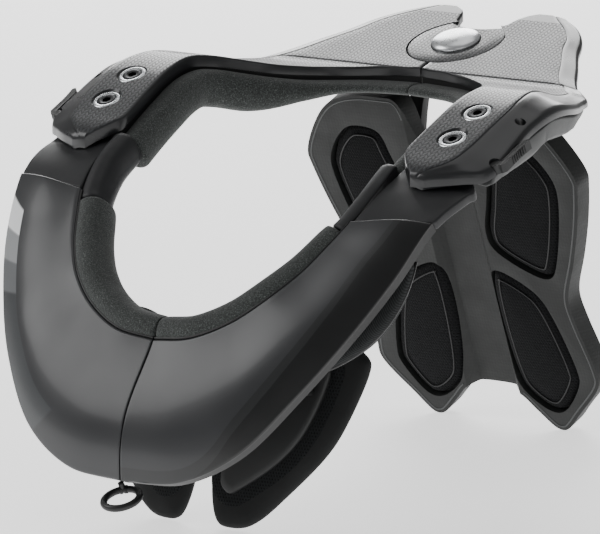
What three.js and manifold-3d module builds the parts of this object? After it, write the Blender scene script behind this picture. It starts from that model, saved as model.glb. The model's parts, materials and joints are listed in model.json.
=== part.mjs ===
// Motocross neck brace, standing on its two chest pads and the two tips of its back plate.
// Millimetres, +Z up, the wearer faces -Y. The hub that joins the two halves lies on x = 0, y = 0
// while the pieces are made, and the finished brace is moved so that its footprint is centred.
import * as THREE from "three";
import { mergeVertices } from "three/addons/utils/BufferGeometryUtils.js";
import Module from "manifold-3d";

const wasm = await Module();
wasm.setup();

// Driving dimensions of the neck ring.
const neckHalfWidth = 95;
const bibHalfWidth = 135;
const armHalfWidth = 146;
const frontReach = 308;
const armReach = 194;
const lobeReach = 42;
const crestHeight = 222.5;
const hubHeight = 220.8;
const deckPitch = THREE.MathUtils.degToRad(15.4);
const armPitch = THREE.MathUtils.degToRad(22.4);

// Walls and clearances.
const gap = 0.3;
const seamGap = 0.8;
const skin = 2.6;
const lipDepth = 7;
const bibCrown = 8.5;
const frameDepth = 8;
const shellThickness = 7;
const linkThickness = 6;
const chassisDepth = 15;
const sideDrop = 8;

// Foam that lines the neck opening.
const foamWidth = 14;
const foamDepth = 22;
const rearFoamDepth = 6;
const foamSeat = 7;
const foamTuck = 3;
const shoulderPadDepth = 11;

// Hub and its hinge leaves.
const capRadius = 27.2;
const capThickness = 5;
const notchReach = 17;
const notchRadius = 38;
const buttonRadius = 13.8;
const buttonRise = 4.6;
const buttonSeat = 1.2;
const postRadius = 8;
const leafRadius = 20;
const leafThickness = 3.4;
const leafSpan = 56;
const leafHalfWidth = 13;

// Bolts that hold the side links under the arms.
const boltOut = 114;
const frontBoltAhead = 165.5;
const rearBoltAhead = 142.6;
const recessRadius = 8;
const recessDepth = 3;
const shankRadius = 3;
const socketRadius = 2.7;

// Release levers on the outside of the arms.
const leverAhead = 169;
const leverLength = 25;
const leverHeight = 5;
const leverBlade = 3.6;
const leverBoss = 3;

// Back plate with its four inset pads.
const plateHeight = 203;
const plateHalfWidth = 90;
const plateThickness = 12;
const platePitch = THREE.MathUtils.degToRad(19.24);
const plateSetback = 36.4;
const spineRecess = 6;
const spineHalfWidth = 12;
const pocketDepth = 6;
const strutHalfWidth = 12;
const strutThickness = 7;

// Chest pads with their hard plates.
const padHeight = 108;
const padReach = 94;
const padThickness = 10;
const padPitch = THREE.MathUtils.degToRad(15.9);
const padYaw = THREE.MathUtils.degToRad(4.75);
const padAhead = 248.8;
const chestPlateThickness = 3;
const chestArmHalfWidth = 12;
const chestArmThickness = 8;

// Pull ring under the front seam.
const pullRingRadius = 9.6;
const pullRingWire = 1.9;
const pullRingPitch = THREE.MathUtils.degToRad(19);
const pullRingDrop = 9;

// Inner edge of the neck ring from the front seam round to the hub: how far out from the middle
// (of neckHalfWidth), how far ahead of the hub (of frontReach) and how high (of crestHeight).
const innerRows = [
  { out: 0.0, ahead: 0.899, up: 0.481 },
  { out: 0.253, ahead: 0.899, up: 0.496 },
  { out: 0.484, ahead: 0.878, up: 0.538 },
  { out: 0.663, ahead: 0.845, up: 0.596 },
  { out: 0.789, ahead: 0.802, up: 0.653 },
  { out: 0.874, ahead: 0.758, up: 0.712 },
  { out: 0.932, ahead: 0.721, up: 0.76 },
  { out: 0.972, ahead: 0.661, up: 0.826 },
  { out: 0.974, ahead: 0.584, up: 0.886 },
  { out: 0.989, ahead: 0.497, up: 0.945 },
  { out: 1.0, ahead: 0.425, up: 0.986 },
  { out: 1.0, ahead: 0.367, up: 0.998 },
  { out: 0.942, ahead: 0.321, up: 0.991 },
  { out: 0.842, ahead: 0.282, up: 0.977 },
  { out: 0.737, ahead: 0.247, up: 0.964 },
  { out: 0.642, ahead: 0.205, up: 0.952 },
  { out: 0.505, ahead: 0.153, up: 0.944 },
  { out: 0.295, ahead: 0.12, up: 0.944 },
  { out: 0.0, ahead: 0.109, up: 0.946 },
];

// Outer edge of the bib, row for row beside the first seven of the inner edge, out in shares of
// bibHalfWidth. The last two rows carry the edge on along the side link.
const outerRows = [
  { out: 0.0, ahead: 1.0, up: 0.171 },
  { out: 0.267, ahead: 0.993, up: 0.183 },
  { out: 0.504, ahead: 0.966, up: 0.256 },
  { out: 0.704, ahead: 0.909, up: 0.396 },
  { out: 0.844, ahead: 0.841, up: 0.528 },
  { out: 0.941, ahead: 0.773, up: 0.649 },
  { out: 1.0, ahead: 0.695, up: 0.77 },
  { out: 1.025, ahead: 0.636, up: 0.813 },
  { out: 1.03, ahead: 0.588, up: 0.84 },
];

// Arm and rear deck, from the tip of the bolt plate back to the lobe: ahead in shares of armReach
// (behind the hub, of lobeReach), border and outer edge of armHalfWidth, height of crestHeight, and
// how much of sideDrop the flank falls. A row with its own inner edge gives it, of armHalfWidth.
const armRows = [
  { ahead: 1.0, inner: 0.733, border: 0.76, outer: 0.79, up: 0.858, drop: 0.15 },
  { ahead: 0.979, inner: 0.703, border: 0.795, outer: 0.856, up: 0.872, drop: 0.4 },
  { ahead: 0.948, inner: 0.664, border: 0.845, outer: 0.92, up: 0.886, drop: 0.7 },
  { ahead: 0.915, inner: 0.637, border: 0.866, outer: 0.975, up: 0.899, drop: 1.0 },
  { ahead: 0.871, border: 0.878, outer: 1.0, up: 0.917, drop: 1.0 },
  { ahead: 0.789, border: 0.89, outer: 0.997, up: 0.95, drop: 1.0 },
  { ahead: 0.711, border: 0.894, outer: 0.992, up: 0.978, drop: 0.95 },
  { ahead: 0.644, border: 0.882, outer: 0.992, up: 0.994, drop: 0.9 },
  { ahead: 0.582, border: 0.864, outer: 0.986, up: 1.0, drop: 0.9 },
  { ahead: 0.521, border: 0.84, outer: 0.972, up: 0.994, drop: 0.85 },
  { ahead: 0.454, border: 0.815, outer: 0.945, up: 0.979, drop: 0.75 },
  { ahead: 0.387, border: 0.795, outer: 0.908, up: 0.963, drop: 0.6 },
  { ahead: 0.32, border: 0.77, outer: 0.865, up: 0.952, drop: 0.45 },
  { ahead: 0.258, border: 0.74, outer: 0.828, up: 0.945, drop: 0.35 },
  { ahead: 0.211, border: 0.685, outer: 0.775, up: 0.943, drop: 0.3 },
  { ahead: 0.185, border: 0.65, outer: 0.735, up: 0.946, drop: 0.28 },
];
const deckRows = [
  { behind: -0.8, border: 0.625, outer: 0.71, drop: 0.28 },
  { behind: -0.595, border: 0.58, outer: 0.665, drop: 0.28 },
  { behind: -0.286, border: 0.53, outer: 0.61, drop: 0.28 },
  { behind: 0.119, border: 0.46, outer: 0.534, drop: 0.28 },
  { behind: 0.357, border: 0.43, outer: 0.5, drop: 0.28 },
  { behind: 0.548, inner: 0.1, border: 0.39, outer: 0.466, drop: 0.26 },
  { behind: 0.69, inner: 0.118, border: 0.35, outer: 0.43, drop: 0.24 },
  { behind: 0.81, inner: 0.13, border: 0.31, outer: 0.39, drop: 0.22 },
  { behind: 0.905, inner: 0.152, border: 0.28, outer: 0.347, drop: 0.2 },
  { behind: 1.0, inner: 0.2, border: 0.25, outer: 0.3, drop: 0.16 },
];

// Half outline of the back plate from the middle of its top round the wing to the lower notch: out
// in shares of plateHalfWidth, up in shares of plateHeight.
const plateOutline = [
  { out: 0.0, up: 1.0 },
  { out: 0.27, up: 1.0 },
  { out: 0.62, up: 0.99 },
  { out: 0.78, up: 0.955 },
  { out: 0.93, up: 0.87 },
  { out: 1.0, up: 0.8 },
  { out: 0.99, up: 0.765 },
  { out: 0.93, up: 0.66 },
  { out: 0.84, up: 0.545 },
  { out: 0.745, up: 0.442 },
  { out: 0.733, up: 0.405 },
  { out: 0.755, up: 0.34 },
  { out: 0.822, up: 0.2 },
  { out: 0.815, up: 0.16 },
  { out: 0.62, up: 0.058 },
  { out: 0.51, up: 0.006 },
  { out: 0.47, up: 0.0 },
  { out: 0.42, up: 0.006 },
  { out: 0.31, up: 0.052 },
  { out: 0.19, up: 0.102 },
  { out: 0.0, up: 0.112 },
];
const upperPadOutline = [
  { out: 0.42, up: 0.89 },
  { out: 0.62, up: 0.9 },
  { out: 0.74, up: 0.86 },
  { out: 0.83, up: 0.79 },
  { out: 0.83, up: 0.73 },
  { out: 0.71, up: 0.535 },
  { out: 0.65, up: 0.49 },
  { out: 0.57, up: 0.485 },
  { out: 0.26, up: 0.56 },
  { out: 0.23, up: 0.61 },
  { out: 0.29, up: 0.71 },
  { out: 0.36, up: 0.82 },
];
const lowerPadOutline = [
  { out: 0.18, up: 0.47 },
  { out: 0.23, up: 0.492 },
  { out: 0.46, up: 0.446 },
  { out: 0.55, up: 0.4 },
  { out: 0.68, up: 0.19 },
  { out: 0.67, up: 0.155 },
  { out: 0.51, up: 0.062 },
  { out: 0.41, up: 0.058 },
  { out: 0.24, up: 0.115 },
  { out: 0.19, up: 0.18 },
];

// Outline of a chest pad and of the hard plate on it: out of padReach, up of padHeight.
const chestPadOutline = [
  { out: 0.12, up: 0.05 },
  { out: 0.16, up: 0.01 },
  { out: 0.24, up: 0.0 },
  { out: 0.33, up: 0.012 },
  { out: 0.415, up: 0.055 },
  { out: 0.553, up: 0.17 },
  { out: 0.777, up: 0.385 },
  { out: 0.872, up: 0.52 },
  { out: 1.0, up: 0.838 },
  { out: 0.99, up: 0.885 },
  { out: 0.87, up: 0.955 },
  { out: 0.69, up: 1.0 },
  { out: 0.48, up: 0.955 },
  { out: 0.27, up: 0.79 },
  { out: 0.11, up: 0.46 },
  { out: 0.075, up: 0.23 },
];
const chestPlateOutline = [
  { out: 0.17, up: 0.24 },
  { out: 0.19, up: 0.19 },
  { out: 0.24, up: 0.165 },
  { out: 0.3, up: 0.19 },
  { out: 0.53, up: 0.34 },
  { out: 0.67, up: 0.49 },
  { out: 0.78, up: 0.73 },
  { out: 0.79, up: 0.82 },
  { out: 0.69, up: 0.88 },
  { out: 0.5, up: 0.84 },
  { out: 0.34, up: 0.7 },
  { out: 0.21, up: 0.45 },
];

// Section of the neck foam: along the ring's surface outward (of foamWidth) and above it (of
// foamDepth), the side towards the neck first and the side towards the shell second.
const foamSection = [
  { top: [-0.04, -0.05], under: [0.22, -0.16] },
  { top: [-0.42, 0.01], under: [0.24, -0.4] },
  { top: [-0.8, -0.09], under: [0.24, -0.64] },
  { top: [-1.0, -0.34], under: [0.22, -0.88] },
  { top: [-1.02, -0.66], under: [-0.1, -1.0] },
  { top: [-0.82, -0.93], under: [-0.42, -1.04] },
];

const vector = (x, y, z) => new THREE.Vector3(x, y, z);
const mix = THREE.MathUtils.lerp;

function curveThrough(rows, halfWidth) {
  const points = rows.map((row) => vector(row.out * halfWidth, -row.ahead * frontReach, row.up * crestHeight));
  return new THREE.CatmullRomCurve3(points, false, "centripetal");
}

const innerCurve = curveThrough(innerRows, neckHalfWidth);
const outerCurve = curveThrough(outerRows, bibHalfWidth);
const bibEnd = 6;
const shareOf = (row, rows) => THREE.MathUtils.clamp(row / (rows.length - 1), 0, 1);
const innerAt = (row) => innerCurve.getPoint(shareOf(row, innerRows));
const outerAt = (row) => outerCurve.getPoint(shareOf(row, outerRows));

// The inner edge's distance from the middle at a given y behind its second row.
function innerOut(y) {
  let low = 1;
  let high = innerRows.length - 1;
  for (let step = 0; step < 30; step += 1) {
    const middle = (low + high) / 2;
    if (innerAt(middle).y < y) low = middle;
    else high = middle;
  }
  return innerAt(low).x;
}

// Closed solid through stations that each hold a top row and an under row of as many points.
function loft(stations) {
  const positions = [];
  const indices = [];
  const count = stations[0].top.length;
  const ringSize = 2 * count;
  for (const station of stations) {
    for (const point of station.top) positions.push(point.x, point.y, point.z);
    for (const point of [...station.under].reverse()) positions.push(point.x, point.y, point.z);
  }
  const quad = (a, b, c, d) => indices.push(a, b, c, a, c, d);
  for (let s = 0; s < stations.length - 1; s += 1) {
    for (let i = 0; i < ringSize; i += 1) {
      const j = (i + 1) % ringSize;
      const near = s * ringSize;
      const far = near + ringSize;
      quad(near + i, near + j, far + j, far + i);
    }
  }
  const last = (stations.length - 1) * ringSize;
  for (let i = 0; i < count - 1; i += 1) {
    const across = ringSize - 1 - i;
    quad(i, across, across - 1, i + 1);
    quad(last + i, last + i + 1, last + across - 1, last + across);
  }
  const geometry = new THREE.BufferGeometry();
  geometry.setAttribute("position", new THREE.Float32BufferAttribute(positions, 3));
  geometry.setIndex(indices);
  return outward(geometry);
}

// Turns a closed mesh so that its faces point out.
function outward(geometry) {
  const position = geometry.getAttribute("position");
  const index = geometry.getIndex();
  const a = vector(0, 0, 0);
  const b = vector(0, 0, 0);
  const c = vector(0, 0, 0);
  let volume = 0;
  for (let i = 0; i < index.count; i += 3) {
    a.fromBufferAttribute(position, index.getX(i));
    b.fromBufferAttribute(position, index.getX(i + 1));
    c.fromBufferAttribute(position, index.getX(i + 2));
    volume += a.dot(b.cross(c));
  }
  if (volume < 0) {
    for (let i = 0; i < index.count; i += 3) {
      const second = index.getX(i + 1);
      index.setX(i + 1, index.getX(i + 2));
      index.setX(i + 2, second);
    }
  }
  return geometry;
}

function solidOf(geometry) {
  const bare = geometry.clone();
  bare.deleteAttribute("normal");
  bare.deleteAttribute("uv");
  const merged = mergeVertices(bare, 1e-4);
  const mesh = new wasm.Mesh({
    numProp: 3,
    vertProperties: new Float32Array(merged.getAttribute("position").array),
    triVerts: new Uint32Array(merged.getIndex().array),
  });
  return new wasm.Manifold(mesh);
}

function geometryOf(solid) {
  const mesh = solid.getMesh();
  const geometry = new THREE.BufferGeometry();
  geometry.setAttribute("position", new THREE.Float32BufferAttribute(mesh.vertProperties, mesh.numProp));
  geometry.setIndex([...mesh.triVerts]);
  return geometry;
}

function cut(geometry, ...tools) {
  return geometryOf(tools.reduce((solid, tool) => solid.subtract(solidOf(tool)), solidOf(geometry)));
}

function join(geometry, ...others) {
  return geometryOf(others.reduce((solid, other) => solid.add(solidOf(other)), solidOf(geometry)));
}

// Round bar along the local z of a placement, between two heights.
function bar(radius, low, high, placement, sides = 24) {
  const geometry = new THREE.CylinderGeometry(radius, radius, high - low, sides);
  geometry.rotateX(Math.PI / 2);
  geometry.translate(0, 0, (low + high) / 2);
  return geometry.applyMatrix4(placement);
}

function block(lowX, highX, lowY, highY, lowZ, highZ, placement) {
  const geometry = new THREE.BoxGeometry(highX - lowX, highY - lowY, highZ - lowZ);
  geometry.translate((lowX + highX) / 2, (lowY + highY) / 2, (lowZ + highZ) / 2);
  return geometry.applyMatrix4(placement);
}

function placementOf(origin, pitch, yaw = 0) {
  const turn = new THREE.Matrix4().makeRotationX(pitch);
  turn.premultiply(new THREE.Matrix4().makeRotationZ(yaw));
  return turn.setPosition(origin);
}

// Frame of the neck ring at a row: along the ring, outward over its surface, and off its surface.
function ringFrame(row) {
  const step = 0.05;
  const along = innerAt(row + step).sub(innerAt(row - step)).normalize();
  const level = along.clone().cross(vector(0, 0, 1)).normalize();
  const beside = row < outerRows.length - 1 ? outerAt(row).sub(innerAt(row)).normalize() : level.clone();
  const blend = THREE.MathUtils.smoothstep(row, bibEnd - 1, bibEnd + 2);
  const across = beside.lerp(level, blend);
  across.addScaledVector(along, -across.dot(along)).normalize();
  const off = across.clone().cross(along).normalize();
  return { origin: innerAt(row), across, off };
}

const inFrame = (frame, out, rise) =>
  frame.origin.clone().addScaledVector(frame.across, out).addScaledVector(frame.off, rise);

// A point of the bib's surface, share of the way from the inner edge to the outer, sunk by depth.
function bibPoint(row, share, depth) {
  const inner = innerAt(row);
  const outer = outerAt(row);
  const step = 0.05;
  const from = Math.max(row - step, 0);
  const along = innerAt(row + step).lerp(outerAt(row + step), 0.5).sub(innerAt(from).lerp(outerAt(from), 0.5));
  const across = outer.clone().sub(inner).normalize();
  if (row === 0) along.set(1, 0, 0);
  const off = across.clone().cross(along).normalize();
  const crown = mix(bibCrown, bibCrown / 3, row / bibEnd) * Math.sin(Math.PI * Math.max(share, 0) ** 1.3);
  return inner.lerp(outer, share).addScaledVector(off, crown - depth);
}

function spaced(from, to, count) {
  return Array.from({ length: count }, (_, i) => mix(from, to, i / (count - 1)));
}

// Keeps a right half clear of the middle plane.
function clearOfSeam(geometry, clearance) {
  const far = 4 * frontReach;
  return cut(geometry, block(-far, clearance, -far, far, -far, far, new THREE.Matrix4()));
}

// Glossy skin of the bib with its turned-in lip. extra makes it thicker all round, to cut with.
function frontShell(extra) {
  const shares = [0, 0.08, 0.26, 0.46, 0.66, 0.85, 1];
  const rim = extra / bibHalfWidth;
  const stations = spaced(0, bibEnd, 13).map((row) => {
    const top = shares.map((share) => bibPoint(row, share === 0 ? -2 * rim : share, share === 0 ? skin / 3 : -extra));
    top.push(bibPoint(row, 1, lipDepth * 0.5), bibPoint(row, 0.995, lipDepth + extra));
    const under = shares.map((share) => bibPoint(row, share * 0.945 - 2 * rim, skin + extra));
    under.push(bibPoint(row, 0.955 - rim, lipDepth * 0.6), bibPoint(row, 0.96 - rim, lipDepth + extra));
    return { top, under };
  });
  return clearOfSeam(loft(stations), seamGap / 2);
}

function frontFrame(extra) {
  const shares = [0.1, 0.3, 0.5, 0.7, 0.82, 0.915];
  const stations = spaced(0, bibEnd - 0.05, 12).map((row) => {
    const top = shares.map((share) => bibPoint(row, share, skin + 2 * gap));
    const depth = skin + gap + frameDepth + extra;
    const under = shares.map((share) => bibPoint(row, share, depth));
    return { top, under };
  });
  return clearOfSeam(loft(stations), seamGap / 2);
}

function shoulderPad() {
  const low = skin + gap + frameDepth + gap;
  const rows = spaced(3.3, bibEnd - 0.35, 7);
  const stations = rows.map((row, i) => {
    const round = Math.sin(Math.PI * (0.12 + (0.76 * i) / (rows.length - 1)));
    const outerShare = mix(0.72, 1.06, round);
    const shares = [0.34, 0.5, 0.7, 0.88, 1].map((part) => mix(0.3, outerShare, (part - 0.34) / 0.66));
    const top = shares.map((share) => bibPoint(row, share, low));
    const under = shares.map((share) => bibPoint(row, share, low + shoulderPadDepth * mix(0.5, 1, round)));
    return { top, under };
  });
  return cut(loft(stations), frontFrame(gap));
}

// Foam along the ring between two rows. seat is how far it reaches under the shell.
function ringFoam(fromRow, toRow, count, width, depthFrom, depthTo, sink, seat) {
  const stations = spaced(fromRow, toRow, count).map((row) => {
    const frame = ringFrame(row);
    const depth = mix(depthFrom, depthTo, THREE.MathUtils.smoothstep(row, toRow - 5, toRow - 1.4));
    const place = ([out, rise]) => inFrame(frame, out > 0 ? seat : out * width, rise * depth - sink);
    return { top: foamSection.map((side) => place(side.top)), under: foamSection.map((side) => place(side.under)) };
  });
  return loft(stations);
}

const allArmRows = [
  ...armRows.map((row) => ({ ...row, y: -row.ahead * armReach, z: row.up * crestHeight })),
  ...deckRows.map((row) => {
    const y = row.behind * lobeReach;
    return { ...row, y, z: hubHeight + y * Math.tan(deckPitch) };
  }),
];
const deckStart = armRows.length;

function armRow(index) {
  const row = allArmRows[index];
  const onDeck = index >= deckStart;
  const edge = onDeck ? seamGap / 2 : innerOut(row.y);
  return {
    y: row.y,
    z: row.z,
    inner: row.inner === undefined ? edge : row.inner * armHalfWidth,
    border: row.border * armHalfWidth,
    outer: row.outer * armHalfWidth,
    drop: row.drop * sideDrop,
    thickness: onDeck ? capThickness : mix(shellThickness, capThickness, THREE.MathUtils.smoothstep(index, 7, 13)),
  };
}

// Height of the arm's top at a share of its width, counted 0 to 1 to the border and on to 2.
function armX(row, share) {
  return share <= 1 ? mix(row.inner, row.border, share) : mix(row.border, row.outer, share - 1);
}

function armZ(row, share) {
  return row.z - (share <= 1 ? 0 : row.drop * (share - 1) ** 0.9);
}

function armShell(extra) {
  const shares = [0, 0.06, 1, 1.5, 1.92, 2];
  const stations = allArmRows.map((_, index) => {
    const row = armRow(index);
    const top = shares.map((share) => {
      const soft = share === 0 ? 1.2 : share === 2 ? 2 : 0;
      return vector(armX(row, share), row.y, armZ(row, share) - soft);
    });
    const under = shares.map((share) => {
      const side = share > 1.9 ? 1.5 : 0;
      return vector(armX(row, share), row.y, armZ(row, share) - row.thickness + side - extra);
    });
    return { top, under };
  });
  return loft(stations);
}

const hubPlacement = placementOf(vector(0, 0, hubHeight), deckPitch);
const armTop = (y) => {
  const rows = allArmRows;
  const after = rows.findIndex((row) => row.y >= y);
  const a = rows[after - 1];
  const b = rows[after];
  return mix(a.z, b.z, (y - a.y) / (b.y - a.y));
};
const boltPlacement = (ahead) => placementOf(vector(boltOut, -ahead, armTop(-ahead)), armPitch);
const boltPlacements = [boltPlacement(frontBoltAhead), boltPlacement(rearBoltAhead)];
const leverPlacement = placementOf(
  vector(armHalfWidth - leverBoss * 0.5, -leverAhead, armTop(-leverAhead) - sideDrop - leverHeight / 2),
  armPitch,
);
const through = 40;

function rearShell() {
  const tools = [bar(capRadius + 2 * gap, -through, through, hubPlacement, 44)];
  for (const placement of boltPlacements) {
    tools.push(bar(recessRadius, -recessDepth, through, placement));
    tools.push(bar(shankRadius + gap, -through, through, placement, 16));
  }
  tools.push(bar(leverBoss + gap, -leverHeight, leverHeight, leverPlacement, 16));
  return cut(armShell(0), ...tools);
}

// Side link: the tongue that runs from the end of the bib to both bolts, under the arm's shell.
function sideLink(extra) {
  const bare = [
    { row: bibEnd + 0.02, sink: 1.0 },
    { row: bibEnd + 0.5, sink: 1.8 },
    { row: bibEnd + 1.0, sink: 3.0 },
    { row: bibEnd + 1.5, sink: 5.0 },
    { row: bibEnd + 1.85, sink: 6.4 },
  ];
  const stations = bare.map(({ row, sink }) => {
    const frame = ringFrame(row);
    const inner = innerAt(row).addScaledVector(frame.off, -sink);
    const outer = outerAt(row).addScaledVector(frame.off, -sink * 0.5);
    const top = spaced(0.015 - extra / bibHalfWidth, 1, 5).map((share) => inner.clone().lerp(outer, share));
    const under = top.map((point) => point.clone().addScaledVector(frame.off, -linkThickness - extra));
    return { top, under };
  });
  for (const index of [4, 5, 6, 7]) {
    const row = armRow(index);
    const shares = spaced((foamSeat - extra) / (row.border - row.inner), 0.98, 5);
    const high = row.z - row.thickness - gap;
    const top = shares.map((share) => vector(armX(row, share), row.y, high));
    const under = top.map((point) => point.clone().add(vector(0, 0, -linkThickness - extra)));
    stations.push({ top, under });
  }
  const holes = boltPlacements.map((placement) => bar(shankRadius + gap, -through, through, placement, 16));
  return cut(loft(stations), armShell(gap), ...holes);
}

// Chassis: the lower layer of the arm, deep under the bolts and thin at the wide corner of the deck.
function chassis() {
  const depths = [0.45, 0.72, 0.95, 1.0, 1.0, 0.98, 0.88, 0.72, 0.5, 0.3];
  const first = 4;
  const stations = depths.map((depth, i) => {
    const index = first + i;
    const row = armRow(index);
    const sunk = index < 8 ? linkThickness + gap : 0;
    const from = foamSeat / (row.border - row.inner);
    const shares = [from, (from + 1) / 2, 1, 1.5, 1.85];
    const top = shares.map((share) => {
      const flank = share > 1 ? -sunk * (share - 1) : 0;
      return vector(armX(row, share), row.y, armZ(row, share) - row.thickness - 2 * gap - sunk - flank);
    });
    const under = top.map((point, k) =>
      vector(point.x - (k === 4 ? 2 : 0), point.y, point.z - chassisDepth * depth * (k === 4 ? 0.7 : 1)),
    );
    return { top, under };
  });
  return loft(stations);
}

// Hinge leaf: a ring round the post with a tongue out to its own half. The lower one has a raised
// foot that reaches up to the deck beside the upper ring.
function hingeLeaf(level) {
  const high = -capThickness - gap - level * (leafThickness + gap);
  const low = high - leafThickness;
  const seat = -capThickness - gap;
  const tongue = block(0, leafSpan, -leafHalfWidth, leafHalfWidth, low, high, hubPlacement);
  const foot = block(leafRadius + 4, leafSpan, -leafHalfWidth, leafHalfWidth, low, seat, hubPlacement);
  const ring = bar(leafRadius, low, high, hubPlacement, 28);
  const hole = bar(postRadius + gap, -through, through, hubPlacement);
  return cut(join(ring, tongue, foot), hole);
}

function hubCap() {
  const notch = bar(notchRadius, -through, through, hubPlacement.clone().multiply(
    new THREE.Matrix4().makeTranslation(0, notchReach + notchRadius, 0)), 60);
  const disc = bar(capRadius, -capThickness, 0, hubPlacement, 44);
  return cut(disc, notch, bar(buttonRadius + gap, -buttonSeat - gap, through, hubPlacement, 32));
}

function lathe(profile, placement, sides = 28) {
  const geometry = new THREE.LatheGeometry(profile.map(([r, z]) => new THREE.Vector2(r, z)), sides);
  geometry.rotateX(Math.PI / 2);
  geometry.deleteAttribute("normal");
  geometry.deleteAttribute("uv");
  return outward(mergeVertices(geometry.applyMatrix4(placement), 1e-4));
}

function hubButton() {
  const base = -buttonSeat;
  return lathe([
    [0, base],
    [buttonRadius, base],
    [buttonRadius, 0.3],
    [buttonRadius * 0.93, buttonRise * 0.42],
    [buttonRadius * 0.72, buttonRise * 0.75],
    [buttonRadius * 0.4, buttonRise * 0.94],
    [0, buttonRise],
  ], hubPlacement);
}

const platePlacement = placementOf(vector(0, plateSetback, 0), platePitch);
const stackLow = -capThickness - 3 * gap - 2 * leafThickness;

// Post through both leaves, with the strut that carries the back plate.
function hubPost() {
  const post = lathe([
    [0, -capThickness - gap],
    [postRadius, -capThickness - gap],
    [postRadius, stackLow],
    [postRadius * 1.7, stackLow],
    [postRadius * 1.7, stackLow - 4],
    [0, stackLow - 4],
  ], hubPlacement);
  const rise = plateHeight - 8;
  const seat = plateThickness + gap;
  const back = seat + strutThickness;
  const head = vector(0, postRadius * 1.2, stackLow - 1.5).applyMatrix4(hubPlacement);
  const toPlate = platePlacement.clone().invert();
  const rearHead = head.applyMatrix4(toPlate);
  const frontHead = vector(0, -postRadius * 1.2, stackLow - 1.5).applyMatrix4(hubPlacement).applyMatrix4(toPlate);
  const profile = new THREE.Shape([
    new THREE.Vector2(seat, rise * 0.72),
    new THREE.Vector2(back, rise * 0.74),
    new THREE.Vector2(back + 2, rise * 0.9),
    new THREE.Vector2(rearHead.y, rearHead.z),
    new THREE.Vector2(frontHead.y, frontHead.z),
    new THREE.Vector2(seat, rise),
  ]);
  const strut = new THREE.ExtrudeGeometry(profile, { depth: 2 * strutHalfWidth, bevelEnabled: false });
  strut.translate(0, 0, -strutHalfWidth);
  const turn = new THREE.Matrix4().makeBasis(vector(0, 1, 0), vector(0, 0, 1), vector(1, 0, 0));
  return join(post, strut.applyMatrix4(turn).applyMatrix4(platePlacement));
}

function outlineShape(points, halfWidth, height, inset = 0) {
  const flat = points.map((point) => new THREE.Vector2(point.out * halfWidth, point.up * height));
  const moved = flat.map((point, i) => {
    const before = flat[(i + flat.length - 1) % flat.length];
    const after = flat[(i + 1) % flat.length];
    const along = after.clone().sub(before).normalize();
    return point.clone().add(new THREE.Vector2(along.y, -along.x).multiplyScalar(inset * turnOf(flat)));
  });
  return new THREE.Shape(moved);
}

// 1 for a clockwise outline, -1 for a counter-clockwise one.
function turnOf(points) {
  return THREE.ShapeUtils.isClockWise(points) ? 1 : -1;
}

// Upright prism of an outline between two depths behind the local x-z plane.
function prism(shape, near, far, placement) {
  const geometry = new THREE.ExtrudeGeometry(shape, { depth: far - near, bevelEnabled: false });
  geometry.rotateX(Math.PI / 2);
  geometry.scale(1, -1, 1);
  geometry.deleteAttribute("normal");
  geometry.deleteAttribute("uv");
  geometry.translate(0, near, 0);
  return outward(mergeVertices(geometry.applyMatrix4(placement), 1e-4));
}

function backPlate() {
  const right = outlineShape(plateOutline, plateHalfWidth, plateHeight).getPoints();
  const left = right.slice(1, -1).reverse().map((point) => new THREE.Vector2(-point.x, point.y));
  const body = prism(new THREE.Shape([...right, ...left]), 0, plateThickness, platePlacement);
  const tools = [];
  for (const side of [-1, 1]) {
    for (const outline of [upperPadOutline, lowerPadOutline]) {
      const shape = outlineShape(outline, side * plateHalfWidth, plateHeight);
      tools.push(prism(shape, -1, pocketDepth, platePlacement));
    }
  }
  const channel = new THREE.Shape([
    new THREE.Vector2(-spineHalfWidth, spineRecess),
    new THREE.Vector2(-spineHalfWidth * 1.5, 0),
    new THREE.Vector2(-spineHalfWidth * 1.5, -2),
    new THREE.Vector2(spineHalfWidth * 1.5, -2),
    new THREE.Vector2(spineHalfWidth * 1.5, 0),
    new THREE.Vector2(spineHalfWidth, spineRecess),
  ]);
  const groove = new THREE.ExtrudeGeometry(channel, { depth: 2 * plateHeight, bevelEnabled: false });
  groove.translate(0, 0, -plateHeight / 2);
  tools.push(groove.applyMatrix4(platePlacement));
  return cut(body, ...tools);
}

function insetPad(outline, side) {
  const shape = outlineShape(outline, side * plateHalfWidth, plateHeight, gap + 0.2);
  return prism(shape, 1, pocketDepth - gap, platePlacement);
}

const padPlacement = placementOf(vector(0, -padAhead, padThickness * Math.sin(padPitch)), -padPitch, padYaw);

function chestPad() {
  return prism(outlineShape(chestPadOutline, padReach, padHeight), 0, padThickness, padPlacement);
}

// Hard plate on the chest pad, with the arm that carries both from the underside of the bib.
function chestPlate() {
  const plate = prism(outlineShape(chestPlateOutline, padReach, padHeight), -chestPlateThickness - gap, -gap, padPlacement);
  const seat = vector(padReach * 0.58, -gap - 1, padHeight * 0.72).applyMatrix4(padPlacement);
  const hang = bibPoint(2.75, 0.5, skin + gap + frameDepth * 0.8);
  const path = [seat, seat.clone().lerp(hang, 0.5).add(vector(0, 0, -5)), hang];
  const stations = path.map((point, i) => {
    const wide = mix(chestArmHalfWidth, chestArmHalfWidth * 0.8, i / 2);
    const lift = mix(chestArmThickness, chestArmThickness * 1.4, i / 2) / 2;
    const top = [-1, 0, 1].map((k) => point.clone().add(vector(k * wide, 0, lift)));
    const under = [-1, 0, 1].map((k) => point.clone().add(vector(k * wide, 0, -lift)));
    return { top, under };
  });
  const padSide = prism(outlineShape(chestPadOutline, padReach, padHeight), -gap, 2 * padThickness, padPlacement);
  return cut(join(plate, loft(stations)), frontFrame(gap), padSide);
}

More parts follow.
